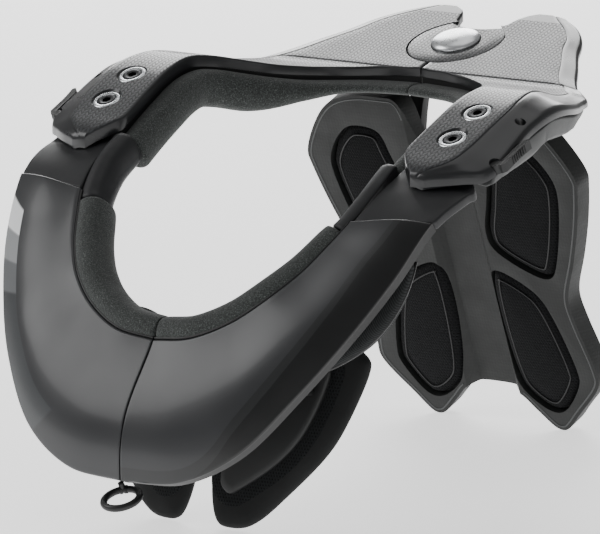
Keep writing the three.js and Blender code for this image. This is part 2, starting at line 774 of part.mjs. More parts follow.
function bolt(placement) {
  const seat = -recessDepth + gap;
  const end = -(shellThickness + linkThickness) * Math.cos(armPitch);
  const body = lathe([
    [0, end],
    [shankRadius, end],
    [shankRadius, seat],
    [recessRadius - gap, seat],
    [recessRadius - gap, -0.9],
    [recessRadius - 1, -0.3],
    [socketRadius + 1.5, -0.3],
    [0, -0.3],
  ], placement, 16);
  return cut(body, bar(socketRadius, -2.4, 3, placement, 6));
}

// Release lever: a blade along the flank on a round boss that turns in a notch of the shell.
function lever() {
  const half = leverHeight / 2;
  const out = leverBoss * 0.5 + gap;
  const blade = new THREE.Shape([
    new THREE.Vector2(out, -leverBoss * 0.3),
    new THREE.Vector2(out + leverBlade * 0.6, -leverBoss * 0.3),
    new THREE.Vector2(out + leverBlade, leverBoss * 0.4),
    new THREE.Vector2(out + leverBlade, leverLength * 0.6),
    new THREE.Vector2(out + leverBlade * 1.3, leverLength * 0.95),
    new THREE.Vector2(out + leverBlade * 0.9, leverLength),
    new THREE.Vector2(out + leverBlade * 0.2, leverLength * 0.9),
    new THREE.Vector2(out, leverLength * 0.5),
  ]);
  const plate = new THREE.ExtrudeGeometry(blade, { depth: leverHeight, bevelEnabled: false });
  plate.translate(0, 0, -half);
  return join(bar(leverBoss, -half, half, leverPlacement, 16), plate.applyMatrix4(leverPlacement));
}

function pullRing() {
  const foot = bibPoint(0, 1, lipDepth);
  const centre = foot.clone().add(vector(0, -pullRingRadius * 0.55, -pullRingDrop + pullRingWire));
  const placement = placementOf(centre, pullRingPitch);
  const ring = new THREE.TorusGeometry(pullRingRadius, pullRingWire, 8, 20);
  ring.applyMatrix4(placement);
  const start = vector(-pullRingRadius * 0.5, pullRingRadius * 0.866, 0).applyMatrix4(placement);
  const end = vector(start.x, foot.y + 0.4, foot.z + 1.2);
  const stem = new THREE.CylinderGeometry(pullRingWire * 0.8, pullRingWire, start.distanceTo(end), 10);
  stem.rotateX(Math.PI / 2);
  const look = new THREE.Matrix4().lookAt(end, start, vector(1, 0, 0));
  stem.applyMatrix4(look.setPosition(start.clone().lerp(end, 0.5)));
  return cut(join(ring, stem), mirrored(frontShell(gap)), mirrored(frontFrame(gap)));
}

const glossShell = { color: 0x55575a, roughness: 0.3, metalness: 0 };
const matteShell = { color: 0x3d3f41, roughness: 0.6, metalness: 0 };
const wovenShell = { color: 0x5a5c5e, roughness: 0.4, metalness: 0 };
const darkPlastic = { color: 0x2a2c2c, roughness: 0.6, metalness: 0 };
const chassisPlastic = { color: 0x4a4d4d, roughness: 0.55, metalness: 0 };
const foamSkin = { color: 0x3a3d3c, roughness: 0.9, metalness: 0 };
const rubber = { color: 0x333536, roughness: 0.7, metalness: 0 };
const insetFoam = { color: 0x1a1b1e, roughness: 0.95, metalness: 0 };
const satinSteel = { color: 0xb8bbbd, roughness: 0.3, metalness: 1 };

const brace = new THREE.Group();

function add(name, geometry, finish) {
  const mesh = new THREE.Mesh(geometry, new THREE.MeshStandardMaterial(finish));
  mesh.name = name;
  brace.add(mesh);
}

function mirrored(geometry) {
  const copy = geometry.clone().scale(-1, 1, 1);
  return outward(copy.getIndex() ? copy : mergeVertices(copy, 1e-4));
}

// The right half as it is made, and the left half as its mirror image.
function addPair(name, geometry, finish) {
  add(`${name}_right`, geometry, finish);
  add(`${name}_left`, mirrored(geometry), finish);
}

addPair("front_shell", frontShell(0), glossShell);
addPair("front_frame", frontFrame(0), darkPlastic);
addPair("shoulder_pad", shoulderPad(), foamSkin);
addPair("side_link", sideLink(0), matteShell);
addPair("rear_shell", rearShell(), wovenShell);
addPair("chassis", chassis(), chassisPlastic);
const frontFoam = ringFoam(0, 5.58, 13, foamWidth, foamDepth, foamDepth, 0, foamTuck);
addPair("neck_foam_front", cut(clearOfSeam(frontFoam, seamGap / 2), frontShell(gap)), foamSkin);
const sleeve = ringFoam(5.6, 7.788, 8, foamWidth * 0.86, foamDepth * 0.92, foamDepth * 0.92, 1, -2 * gap);
addPair("foam_sleeve", cut(sleeve, frontShell(gap)), rubber);
const rearFoam = ringFoam(7.8, 18, 18, foamWidth * 0.9, foamDepth * 0.9, rearFoamDepth, shellThickness, foamTuck);
addPair("neck_foam_rear", cut(clearOfSeam(rearFoam, seamGap / 2), armShell(gap), sideLink(gap)), foamSkin);
addPair("bolt_front", bolt(boltPlacements[0]), satinSteel);
addPair("bolt_rear", bolt(boltPlacements[1]), satinSteel);
addPair("lever", lever(), darkPlastic);
addPair("chest_pad", chestPad(), foamSkin);
addPair("chest_plate", chestPlate(), darkPlastic);
add("hinge_leaf_right", hingeLeaf(1), darkPlastic);
add("hinge_leaf_left", mirrored(hingeLeaf(0)), darkPlastic);
add("pull_ring", pullRing(), rubber);
add("hub_cap", hubCap(), wovenShell);
add("hub_button", hubButton(), satinSteel);
add("hub_post", hubPost(), darkPlastic);
add("back_plate", backPlate(), matteShell);
for (const [side, sign] of [["right", 1], ["left", -1]]) {
  add(`back_pad_upper_${side}`, insetPad(upperPadOutline, sign), insetFoam);
  add(`back_pad_lower_${side}`, insetPad(lowerPadOutline, sign), insetFoam);
}

const footprint = new THREE.Box3().setFromObject(brace);
brace.position.set(0, -(footprint.min.y + footprint.max.y) / 2, -footprint.min.z);
brace.updateMatrixWorld(true);

export default brace;
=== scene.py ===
"""Looks of a motocross neck brace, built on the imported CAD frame.

Row frame: metres, +Z up, the wearer faces -Y. Section tables are shares of the named sizes in
millimetres, measured from the hub's axis, and place() moves them into the row frame.
"""

import json
import math

import bmesh
import bpy
import numpy as np
from mathutils import Matrix, Vector


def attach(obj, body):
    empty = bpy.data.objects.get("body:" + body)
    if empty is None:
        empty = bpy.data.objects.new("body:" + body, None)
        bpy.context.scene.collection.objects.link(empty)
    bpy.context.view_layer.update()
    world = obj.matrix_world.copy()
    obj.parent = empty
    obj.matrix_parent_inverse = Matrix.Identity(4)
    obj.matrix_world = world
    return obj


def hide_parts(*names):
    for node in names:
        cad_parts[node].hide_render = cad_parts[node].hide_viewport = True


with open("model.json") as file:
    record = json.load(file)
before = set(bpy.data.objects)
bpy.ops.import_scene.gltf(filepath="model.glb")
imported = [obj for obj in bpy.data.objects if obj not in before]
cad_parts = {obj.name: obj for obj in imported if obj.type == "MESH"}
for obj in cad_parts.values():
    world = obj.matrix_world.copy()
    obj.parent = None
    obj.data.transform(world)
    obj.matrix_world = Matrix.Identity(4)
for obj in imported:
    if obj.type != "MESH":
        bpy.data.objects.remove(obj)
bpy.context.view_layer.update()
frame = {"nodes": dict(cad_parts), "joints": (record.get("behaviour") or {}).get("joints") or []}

MM = 0.001
# Smallest radius of a turned profile, so that its poles stay closed.
AXIS = 0.01
HUB_Y = next(j for j in frame["joints"] if j["name"] == "right_hinge")["pos_m"][1] / MM

# Driving dimensions, as in the CAD source.
NECK_HALF_WIDTH = 95
BIB_HALF_WIDTH = 135
ARM_HALF_WIDTH = 146
FRONT_REACH = 308
ARM_REACH = 194
LOBE_REACH = 42
CREST_HEIGHT = 222.5
HUB_HEIGHT = 220.8
DECK_PITCH = math.radians(15.4)
ARM_PITCH = math.radians(22.4)
BIB_CROWN = 8.5
BIB_END = 6
LIP_DEPTH = 7
SKIN = 2.6
GAP = 0.3
SEAM_GAP = 0.8
SIDE_DROP = 8
SHELL_THICKNESS = 7
CAP_THICKNESS = 5
LINK_THICKNESS = 6
CHASSIS_DEPTH = 15
FRAME_DEPTH = 8
FOAM_WIDTH = 14
FOAM_DEPTH = 22
REAR_FOAM_DEPTH = 6
FOAM_SEAT = 7
FOAM_TUCK = 3
FOAM_ROW_LENGTH = 20
FOAM_END_RADIUS = 2.4
SHOULDER_PAD_DEPTH = 11
CAP_RADIUS = 27.2
NOTCH_REACH = 17
NOTCH_RADIUS = 38
BUTTON_RADIUS = 13.8
BUTTON_RISE = 4.6
BUTTON_SEAT = 1.2
BOLT_OUT = 114
BOLTS_AHEAD = {"front": 165.5, "rear": 142.6}
RECESS_RADIUS = 8
RECESS_DEPTH = 3
SOCKET_RADIUS = 2.7
SHANK_RADIUS = 3
DIMPLE_ROW = 5.9
DIMPLE_RADIUS = 2.6
COLLAR_WIDTH = 2.5
POST_RADIUS = 8
LEAF_THICKNESS = 3.4
LEVER_AHEAD = 169
LEVER_LENGTH = 25
LEVER_HEIGHT = 5
LEVER_BLADE = 3.6
LEVER_BOSS = 3
LEVER_RIBS = 7
PLATE_HEIGHT = 203
PLATE_HALF_WIDTH = 90
PLATE_THICKNESS = 12
PLATE_PITCH = math.radians(19.24)
PLATE_SETBACK = 36.4
SPINE_RECESS = 6
SPINE_HALF_WIDTH = 12
POCKET_DEPTH = 6
PAD_HEIGHT = 108
PAD_REACH = 94
PAD_THICKNESS = 10
PAD_PITCH = math.radians(15.9)
PAD_YAW = math.radians(4.75)
PAD_AHEAD = 248.8
CHEST_PLATE_THICKNESS = 3
MESH_BAND = 7
RING_RADIUS = 9.6
RING_WIRE = 1.9
RING_PITCH = math.radians(19)
RING_DROP = 9
TONGUE_THICKNESS = 2
TONGUE_HALF_WIDTH = 9
WEAVE_COLUMN = 2.4
WEAVE_STITCH = 2.8
STITCH_LEAN = 0.9

# Inner edge of the neck ring: out, ahead and up in shares of NECK_HALF_WIDTH, FRONT_REACH and CREST_HEIGHT.
INNER_ROWS = [
    (0.0, 0.899, 0.481), (0.253, 0.899, 0.496), (0.484, 0.878, 0.538), (0.663, 0.845, 0.596),
    (0.789, 0.802, 0.653), (0.874, 0.758, 0.712), (0.932, 0.721, 0.76), (0.972, 0.661, 0.826),
    (0.974, 0.584, 0.886), (0.989, 0.497, 0.945), (1.0, 0.425, 0.986), (1.0, 0.367, 0.998),
    (0.942, 0.321, 0.991), (0.842, 0.282, 0.977), (0.737, 0.247, 0.964), (0.642, 0.205, 0.952),
    (0.505, 0.153, 0.944), (0.295, 0.12, 0.944), (0.0, 0.109, 0.946),
]
# Outer edge of the bib beside the first inner rows, out in shares of BIB_HALF_WIDTH.
OUTER_ROWS = [
    (0.0, 1.0, 0.171), (0.267, 0.993, 0.183), (0.504, 0.966, 0.256), (0.704, 0.909, 0.396),
    (0.844, 0.841, 0.528), (0.941, 0.773, 0.649), (1.0, 0.695, 0.77), (1.025, 0.636, 0.813),
    (1.03, 0.588, 0.84),
]
# Arm and deck rows: ahead (of ARM_REACH), inner, border and outer edge (of ARM_HALF_WIDTH), up (of
# CREST_HEIGHT) and the flank's drop (of SIDE_DROP). None: the inner edge follows the neck ring.
ARM_ROWS = [
    (1.0, 0.733, 0.76, 0.79, 0.858, 0.15), (0.979, 0.703, 0.795, 0.856, 0.872, 0.4),
    (0.948, 0.664, 0.845, 0.92, 0.886, 0.7), (0.915, 0.637, 0.866, 0.975, 0.899, 1.0),
    (0.871, None, 0.878, 1.0, 0.917, 1.0), (0.789, None, 0.89, 0.997, 0.95, 1.0),
    (0.711, None, 0.894, 0.992, 0.978, 0.95), (0.644, None, 0.882, 0.992, 0.994, 0.9),
    (0.582, None, 0.864, 0.986, 1.0, 0.9), (0.521, None, 0.84, 0.972, 0.994, 0.85),
    (0.454, None, 0.815, 0.945, 0.979, 0.75), (0.387, None, 0.795, 0.908, 0.963, 0.6),
    (0.32, None, 0.77, 0.865, 0.952, 0.45), (0.258, None, 0.74, 0.828, 0.945, 0.35),
    (0.211, None, 0.685, 0.775, 0.943, 0.3), (0.185, None, 0.65, 0.735, 0.946, 0.28),
]
# Deck rows behind the arm: behind the hub (of LOBE_REACH), inner, border, outer and drop as above.
DECK_ROWS = [
    (-0.8, None, 0.625, 0.71, 0.28), (-0.595, None, 0.58, 0.665, 0.28), (-0.286, None, 0.53, 0.61, 0.28),
    (0.119, None, 0.46, 0.534, 0.28), (0.357, None, 0.43, 0.5, 0.28), (0.548, 0.1, 0.39, 0.466, 0.26),
    (0.69, 0.118, 0.35, 0.43, 0.24), (0.81, 0.13, 0.31, 0.39, 0.22), (0.905, 0.152, 0.28, 0.347, 0.2),
    (1.0, 0.2, 0.25, 0.3, 0.16),
]
# Half outline of the back plate: out of PLATE_HALF_WIDTH, up of PLATE_HEIGHT.
PLATE_OUTLINE = [
    (0.0, 0.69), (0.05, 0.705), (0.16, 0.885), (0.21, 0.98), (0.27, 1.0), (0.62, 0.99),
    (0.78, 0.955), (0.93, 0.87), (1.0, 0.8), (0.99, 0.765),
    (0.93, 0.66), (0.84, 0.545), (0.745, 0.442), (0.733, 0.405), (0.755, 0.34), (0.822, 0.2),
    (0.815, 0.16), (0.62, 0.058), (0.51, 0.006), (0.47, 0.0), (0.42, 0.006), (0.31, 0.052),
    (0.19, 0.102), (0.0, 0.112),
]
UPPER_PAD_OUTLINE = [
    (0.42, 0.89), (0.62, 0.9), (0.74, 0.86), (0.83, 0.79), (0.83, 0.73), (0.71, 0.535),
    (0.65, 0.49), (0.57, 0.485), (0.26, 0.56), (0.23, 0.61), (0.29, 0.71), (0.36, 0.82),
]
LOWER_PAD_OUTLINE = [
    (0.18, 0.47), (0.23, 0.492), (0.46, 0.446), (0.55, 0.4), (0.68, 0.19), (0.67, 0.155),
    (0.51, 0.062), (0.41, 0.058), (0.24, 0.115), (0.19, 0.18),
]
# Chest pad and its hard plate: out of PAD_REACH, up of PAD_HEIGHT.
CHEST_PAD_OUTLINE = [
    (0.12, 0.05), (0.16, 0.01), (0.24, 0.0), (0.33, 0.012), (0.415, 0.055), (0.553, 0.17),
    (0.777, 0.385), (0.872, 0.52), (1.0, 0.838), (0.99, 0.885), (0.87, 0.955), (0.69, 1.0),
    (0.48, 0.955), (0.27, 0.79), (0.11, 0.46), (0.075, 0.23),
]
CHEST_PLATE_OUTLINE = [
    (0.17, 0.24), (0.19, 0.19), (0.24, 0.165), (0.3, 0.19), (0.53, 0.34), (0.67, 0.49),
    (0.78, 0.73), (0.79, 0.82), (0.69, 0.88), (0.5, 0.84), (0.34, 0.7), (0.21, 0.45),
]
# Section of the neck foam: outward (of FOAM_WIDTH) and above the ring (of FOAM_DEPTH), round once.
FOAM_SECTION = [
    (-0.04, -0.05), (-0.42, 0.01), (-0.8, -0.09), (-1.0, -0.34), (-1.02, -0.66), (-0.82, -0.93),
    (-0.42, -1.04), (-0.1, -1.0), (0.22, -0.88), (0.24, -0.64), (0.24, -0.4), (0.22, -0.16),
]
# Edge of the dark band on the right half: along the bib and across it, both as shares.
BAND_EDGE = ((0.0, 1.0), (0.175, 1.0), (0.233, 0.98), (0.36, 0.82), (0.483, 0.75),
             (0.61, 0.69), (0.667, 0.67), (0.84, 0.62), (0.92, 0.65), (1.0, 0.66))
# Plain blocks at the outer edge of the left half: from and to along the bib, and their colour.
LEFT_BLOCKS = ((0.317, 0.667, "3a3c3e"), (0.667, 0.758, "66686a"), (0.758, 0.85, "96989a"),
               (0.85, 0.933, "f4f5f6"))
BLOCK_EDGE = 0.735
BLOCK_SLANT = 0.22
BAND_BORDER = 0.085
# Where the weave ends before the rim, as shares across the arm and along it.
WEAVE_ACROSS = (0.014, 0.505)
WEAVE_ALONG = (0.02, 0.905)


def mix(a, b, t):
    return a + (b - a) * t


def unit(v):
    return v / np.linalg.norm(v)


def smoothstep(x, low, high):
    t = min(max((x - low) / (high - low), 0.0), 1.0)
    return t * t * (3 - 2 * t)


def spline(points, t, closed=False):
    """Centripetal curve through the points at a share t of its length in points."""
    n = len(points)
    p = (t % 1.0) * n if closed else min(max(t, 0.0), 1.0) * (n - 1)
    k = int(p) % n if closed else min(int(p), n - 2)
    w = p - int(p) if closed else p - k
    pick = (lambda i: points[i % n]) if closed else (lambda i: points[i])
    p1, p2 = pick(k), pick(k + 1)
    p0 = pick(k - 1) if closed or k > 0 else 2 * p1 - p2
    p3 = pick(k + 2) if closed or k + 2 < n else 2 * p2 - p1
    d0, d1, d2 = (max(float(np.sum((b - a) ** 2)) ** 0.25, 1e-9) for a, b in ((p0, p1), (p1, p2), (p2, p3)))
    t1 = ((p1 - p0) / d0 - (p2 - p0) / (d0 + d1) + (p2 - p1) / d1) * d1
    t2 = ((p2 - p1) / d1 - (p3 - p1) / (d1 + d2) + (p3 - p2) / d2) * d1
    return p1 + t1 * w + (-3 * p1 + 3 * p2 - 2 * t1 - t2) * w * w + (2 * p1 - 2 * p2 + t1 + t2) * w ** 3


INNER = np.array([(o * NECK_HALF_WIDTH, -a * FRONT_REACH, u * CREST_HEIGHT) for o, a, u in INNER_ROWS])
OUTER = np.array([(o * BIB_HALF_WIDTH, -a * FRONT_REACH, u * CREST_HEIGHT) for o, a, u in OUTER_ROWS])


def inner_at(row):
    return spline(INNER, row / (len(INNER) - 1))


def outer_at(row):
    return spline(OUTER, row / (len(OUTER) - 1))


def bib_point(row, share, depth):
    """A point of the bib's surface, share of the way from its inner edge to its outer, sunk by depth."""
    inner, outer = inner_at(row), outer_at(row)
    start = max(row - 0.05, 0)
    along = inner_at(row + 0.05) + outer_at(row + 0.05) - inner_at(start) - outer_at(start)
    if row < 1e-6:
        along = np.array((1.0, 0.0, 0.0))
    off = unit(np.cross(unit(outer - inner), along))
    crown = mix(BIB_CROWN, BIB_CROWN / 3, row / BIB_END) * math.sin(math.pi * max(share, 0.0) ** 1.3)
    return mix(inner, outer, share) + off * (crown - depth)


def ring_frame(row):
    """Origin, outward direction and direction off the ring's surface at a row of the neck ring."""
    along = unit(inner_at(row + 0.05) - inner_at(row - 0.05)) if row > 0.05 else np.array((1.0, 0.0, 0.0))
    level = unit(np.cross(along, (0, 0, 1)))
    beside = unit(outer_at(row) - inner_at(row)) if row < len(OUTER) - 1 else level
    across = mix(beside, level, smoothstep(row, BIB_END - 1, BIB_END + 2))
    across = unit(across - along * (across @ along))
    return inner_at(row), across, unit(np.cross(across, along))


INNER_SAMPLES = np.array([inner_at(row) for row in np.linspace(1, len(INNER) - 1, 400)])


def inner_out(y):
    return float(np.interp(y, INNER_SAMPLES[:, 1], INNER_SAMPLES[:, 0]))


def arm_table():
    rows = []
    for ahead, inner, border, outer, up, drop in ARM_ROWS:
        y = -ahead * ARM_REACH
        edge = inner_out(y) if inner is None else inner * ARM_HALF_WIDTH
        z = up * CREST_HEIGHT
        rows.append((edge, y, z, border * ARM_HALF_WIDTH, outer * ARM_HALF_WIDTH, drop * SIDE_DROP))
    for behind, inner, border, outer, drop in DECK_ROWS:
        y = behind * LOBE_REACH
        edge = SEAM_GAP / 2 if inner is None else inner * ARM_HALF_WIDTH
        z = HUB_HEIGHT + y * math.tan(DECK_PITCH)
        rows.append((edge, y, z, border * ARM_HALF_WIDTH, outer * ARM_HALF_WIDTH, drop * SIDE_DROP))
    return np.array(rows)


ARM = arm_table()
DECK_START = len(ARM_ROWS)


def arm_at(index):
    """Inner edge, y, z, border, outer edge, drop and thickness of the arm at a row between two rows."""
    row = spline(ARM, index / (len(ARM) - 1))
    if 4 <= index <= DECK_START:
        row[0] = max(inner_out(row[1]), SEAM_GAP / 2)
    elif index < DECK_START + 5 and index > 4:
        row[0] = SEAM_GAP / 2
    thickness = CAP_THICKNESS if index >= DECK_START else mix(
        SHELL_THICKNESS, CAP_THICKNESS, smoothstep(index, 7, 13))
    return (*row, thickness)


def arm_top(y):
    return float(np.interp(y, ARM[:, 1], ARM[:, 2]))


def turned(origin, pitch, yaw=0.0):
    """Placement in millimetres from the hub: pitched about X, then yawed about Z."""
    return Matrix.Translation(origin) @ Matrix.Rotation(yaw, 4, "Z") @ Matrix.Rotation(pitch, 4, "X")


HUB_PLACE = turned((0, 0, HUB_HEIGHT), DECK_PITCH)
BOLT_PLACES = {k: turned((BOLT_OUT, -a, arm_top(-a)), ARM_PITCH) for k, a in BOLTS_AHEAD.items()}
LEVER_UP = arm_top(-LEVER_AHEAD) - SIDE_DROP - LEVER_HEIGHT / 2
LEVER_PLACE = turned((ARM_HALF_WIDTH - LEVER_BOSS * 0.5, -LEVER_AHEAD, LEVER_UP), ARM_PITCH)
PLATE_PLACE = turned((0, PLATE_SETBACK, 0), PLATE_PITCH)
PAD_PLACE = turned((0, -PAD_AHEAD, PAD_THICKNESS * math.sin(PAD_PITCH)), -PAD_PITCH, PAD_YAW)
RING_CENTRE = bib_point(0, 1, LIP_DEPTH) + np.array((0, -RING_RADIUS * 0.55, -RING_DROP + RING_WIRE))
RING_PLACE = turned(RING_CENTRE, RING_PITCH)


# Mesh tools. Points are in millimetres from the hub until place() moves them.

def place(points):
    moved = np.asarray(points, float) + np.array((0, HUB_Y, 0))
    return moved * MM


def in_place(placement, points):
    matrix = np.array(placement)
    return np.asarray(points, float) @ matrix[:3, :3].T + matrix[:3, 3]


def select_only(obj):
    bpy.ops.object.select_all(action="DESELECT")
    obj.select_set(True)
    bpy.context.view_layer.objects.active = obj


def mesh_object(name, points, faces, uvs=None):
    """A mesh whose faces point outwards. uvs holds one (u, v) pair a point."""
    mesh = bpy.data.meshes.new(name)
    mesh.from_pydata([tuple(p) for p in place(points)], [], [tuple(f) for f in faces])
    mesh.validate()
    if uvs is not None:
        layer = mesh.uv_layers.new(name="surface")
        corner = np.zeros(len(mesh.loops), np.int32)
        mesh.loops.foreach_get("vertex_index", corner)
        layer.data.foreach_set("uv", np.asarray(uvs, np.float32)[corner].ravel())
    obj = bpy.data.objects.new(name, mesh)
    bpy.context.scene.collection.objects.link(obj)
    work = bmesh.new()
    work.from_mesh(mesh)
    bmesh.ops.remove_doubles(work, verts=work.verts, dist=1e-6)
    bmesh.ops.recalc_face_normals(work, faces=work.faces)
    work.to_mesh(mesh)
    work.free()
    return obj


def smooth(obj, angle=35.0):
    select_only(obj)
    bpy.ops.object.shade_smooth_by_angle(angle=math.radians(angle))
    return obj


def tube(name, rings, uvs=None, closed=False, side=1):
    """Closed solid through rings of points, with flat ends unless it closes on itself."""
    rings = np.asarray(rings, float).copy()
    rings[..., 0] *= side
    count, size = rings.shape[:2]
    faces = []
    for s in range(count if closed else count - 1):
        a, b = s * size, ((s + 1) % count) * size
        for i in range(size):
            j = (i + 1) % size
            faces.append((a + i, a + j, b + j, b + i))
    if not closed:
        faces.append(tuple(range(size)))
        faces.append(tuple(range((count - 1) * size, count * size)))
    flat_uvs = None if uvs is None else np.asarray(uvs, float).reshape(-1, 2)
    return mesh_object(name, rings.reshape(-1, 3), faces, flat_uvs)


def sheet_rings(tops, unders, uv_tops=None, uv_unders=None):
    """Rings of a thick sheet: over its top row and back along its under row."""
    rings = [np.vstack([t, u[::-1]]) for t, u in zip(tops, unders)]
    if uv_tops is None:
        return rings
    return rings, [np.vstack([t, u[::-1]]) for t, u in zip(uv_tops, uv_unders)]


def rounding(distance, radius):
    """How far a surface sinks at a distance from its edge, for an edge of that radius."""
    if distance >= radius:
        return 0.0
    return radius * (1 - math.sqrt(max(0.0, 1 - (1 - distance / radius) ** 2)))


def edge_spaced(count, fine, steps=4):
    """Shares from 0 to 1 with a few close to each end, for a rounded edge of that share."""
    ends = [fine * (1 - math.cos(math.pi / 2 * k / steps)) for k in range(steps)]
    middle = list(np.linspace(fine, 1 - fine, count))
    return ends + middle + [1 - e for e in reversed(ends)]


def dense(stations, count):
    """Smooth run of rings through a few stations."""
    table = np.array(stations, float)
    return np.array([spline(table, t) for t in np.linspace(0, 1, count)])


def outline(points, half_width, height, count, side=1):
    """Smooth closed outline with corners kept soft, as (out, up) points in millimetres."""
    flat = np.array([(o * half_width * side, u * height) for o, u in points])
    return np.array([spline(flat, i / count, closed=True) for i in range(count)])


def inset_outline(flat, distance):
    """Moves a closed outline inwards by a distance."""
    after = np.roll(flat, -1, axis=0)
    before = np.roll(flat, 1, axis=0)
    along = after - before
    along /= np.linalg.norm(along, axis=1)[:, None]
    area = np.sum(flat[:, 0] * after[:, 1] - after[:, 0] * flat[:, 1])
    inward = np.stack([-along[:, 1], along[:, 0]], axis=1) * (1 if area > 0 else -1)
    return flat + inward * distance


def pillow(name, flat, profile, placement, side=1):
    """Crowned pad on an outline. profile lists (inset, depth) from one face's middle round to the other's."""
    centre = flat.mean(axis=0)
    reach = float(np.min(np.linalg.norm(flat - centre, axis=1)))
    rings = []
    for inset, depth in profile:
        share = min(inset / reach, 0.97)
        near = inset_outline(flat, min(inset, reach * 0.25))
        far = centre + (flat - centre) * (1 - share)
        ring = mix(near, far, smoothstep(share, 0.05, 0.3))
        rings.append(np.stack([ring[:, 0], np.full(len(ring), depth), ring[:, 1]], axis=1))
    points = in_place(placement, np.array(rings).reshape(-1, 3)).reshape(len(rings), len(flat), 3)
    return tube(name, points, side=side)


def lathe(name, profile, placement, sides=64, side=1):
    """Turned solid: profile lists (radius, height) from one end of its axis to the other."""
    turns = np.linspace(0, 2 * math.pi, sides, endpoint=False)
    rings = [[(r * math.cos(a), r * math.sin(a), z) for a in turns] for r, z in profile]
    points = in_place(placement, np.array(rings).reshape(-1, 3)).reshape(len(rings), sides, 3)
    return tube(name, points, side=side)


def cutter(radius, low, high, placement, sides=64, side=1):
    return lathe("cutter", [(radius, low), (radius, high)], placement, sides, side)


def carve(obj, *tools, operation="DIFFERENCE"):
    """Cuts the tools out of a piece, then deletes them."""
    for tool in tools:
        modifier = obj.modifiers.new("carve", "BOOLEAN")
        modifier.operation = operation
        modifier.solver = "EXACT"
        modifier.object = tool
        select_only(obj)
        bpy.ops.object.modifier_apply(modifier=modifier.name)
        bpy.data.objects.remove(tool)
    return obj


def soften(obj, width, segments=3, angle=40.0):
    """Small rounded edges, as a moulded or machined piece has."""
    modifier = obj.modifiers.new("soften", "BEVEL")
    modifier.width = width * MM
    modifier.segments = segments
    modifier.limit_method = "ANGLE"
    modifier.angle_limit = math.radians(angle)
    select_only(obj)
    bpy.ops.object.modifier_apply(modifier=modifier.name)
    return obj


def wire(name, path, radius, closed=False, sides=10, side=1):
    """Round bead along a path of points."""
    path = np.asarray(path, float)
    count = len(path)
    rings = []
    for i, point in enumerate(path):
        after = path[(i + 1) % count] if closed or i + 1 < count else path[i]
        before = path[i - 1] if closed or i > 0 else path[i]
        along = unit(after - before)
        level = np.cross(along, (0.0, 0.0, 1.0))
        if np.linalg.norm(level) < 1e-3:
            level = np.cross(along, (0.0, 1.0, 0.0))
        level = unit(level)
        up = np.cross(level, along)
        angles = np.linspace(0, 2 * math.pi, sides, endpoint=False)
        rings.append([point + radius * (math.cos(a) * level + math.sin(a) * up) for a in angles])
    return tube(name, rings, closed=closed, side=side)


def joined(name, *parts):
    bpy.ops.object.select_all(action="DESELECT")
    for part in parts:
        part.select_set(True)
    bpy.context.view_layer.objects.active = parts[0]
    bpy.ops.object.join()
    parts[0].name = name
    parts[0].data.name = name
    return parts[0]


SIDES = (("right", 1), ("left", -1))


def settle(obj, body, material, slot, *replaced):
    """Gives a finished piece its material and its body, and hides the CAD nodes that it stands for."""
    obj.data.materials.clear()
    obj.data.materials.append(material)
    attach(obj, body)
    if replaced:
        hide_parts(*replaced)
    return obj


# Materials.

def linear(hex_colour):
    """sRGB hex to the linear colour that Blender's sockets take."""
    out = []
    for i in (0, 2, 4):
        c = int(hex_colour[i:i + 2], 16) / 255
        out.append(c / 12.92 if c <= 0.04045 else ((c + 0.055) / 1.055) ** 2.4)
    return (*out, 1.0)


def grey(level):
    return (level, level, level, 1.0)


def per(size_mm):
    """Scale of a pattern whose repeat has that size."""
    return 1 / (size_mm * MM)


class Nodes:
    """One material's node tree. place holds the piece's own coordinates."""

    def __init__(self, name, base, roughness, **shader):
        self.material = bpy.data.materials.new(name)
        self.material.use_nodes = True
        self.tree = self.material.node_tree
        self.shader = self.tree.nodes["Principled BSDF"]
        self.shader.inputs["Base Color"].default_value = linear(base)
        self.shader.inputs["Roughness"].default_value = roughness
        for socket, value in shader.items():
            self.shader.inputs[socket.replace("_", " ")].default_value = value
        self.place = self.add("TexCoord", out="Object")

    def add(self, kind, inputs=(), out=0, stops=(), **settings):
        """Adds a node with its settings, links and the stops of its ramp or curve, and gives one output."""
        node = self.tree.nodes.new("ShaderNode" + kind)
        for key, value in settings.items():
            setattr(node, key, value)
        sockets = inputs if isinstance(inputs, dict) else dict(enumerate(inputs))
        for socket, value in sockets.items():
            if isinstance(value, bpy.types.NodeSocket):
                self.tree.links.new(value, node.inputs[socket])
            else:
                node.inputs[socket].default_value = value
        if stops and kind == "ValToRGB":
            marks = node.color_ramp.elements
            while len(marks) < len(stops):
                marks.new(0.5)
            for mark, (position, colour) in zip(marks, stops):
                mark.position = position
                mark.color = colour
        elif stops:
            marks = node.mapping.curves[0].points
            while len(marks) < len(stops):
                marks.new(0.5, 0.5)
            for mark, stop in zip(marks, stops):
                mark.location = stop
                mark.handle_type = "AUTO_CLAMPED"
            node.mapping.update()
        return node.outputs[out]

    def join(self, output, socket):
        self.tree.links.new(output, self.shader.inputs[socket])


def drift(n, low, high, size_mm, detail, roughness=0.5, span=(0.3, 0.7)):
    """Grey that drifts between two levels in soft blots about size_mm across."""
    blots = n.add("TexNoise", {
        "Vector": n.place, "Scale": per(size_mm), "Detail": detail, "Roughness": roughness})
    return n.add("ValToRGB", {"Fac": blots}, stops=((span[0], grey(low)), (span[1], grey(high))))


def mottle(n, colour, low, high, size_mm, detail=4.0):
    """A hex colour or a colour output, varied between two shares of itself by soft blots."""
    plain = linear(colour) if isinstance(colour, str) else colour
    shade = drift(n, low, high, size_mm, detail)
    return n.add("Mix", {0: 1.0, 6: plain, 7: shade}, 2, data_type="RGBA", blend_type="MULTIPLY")


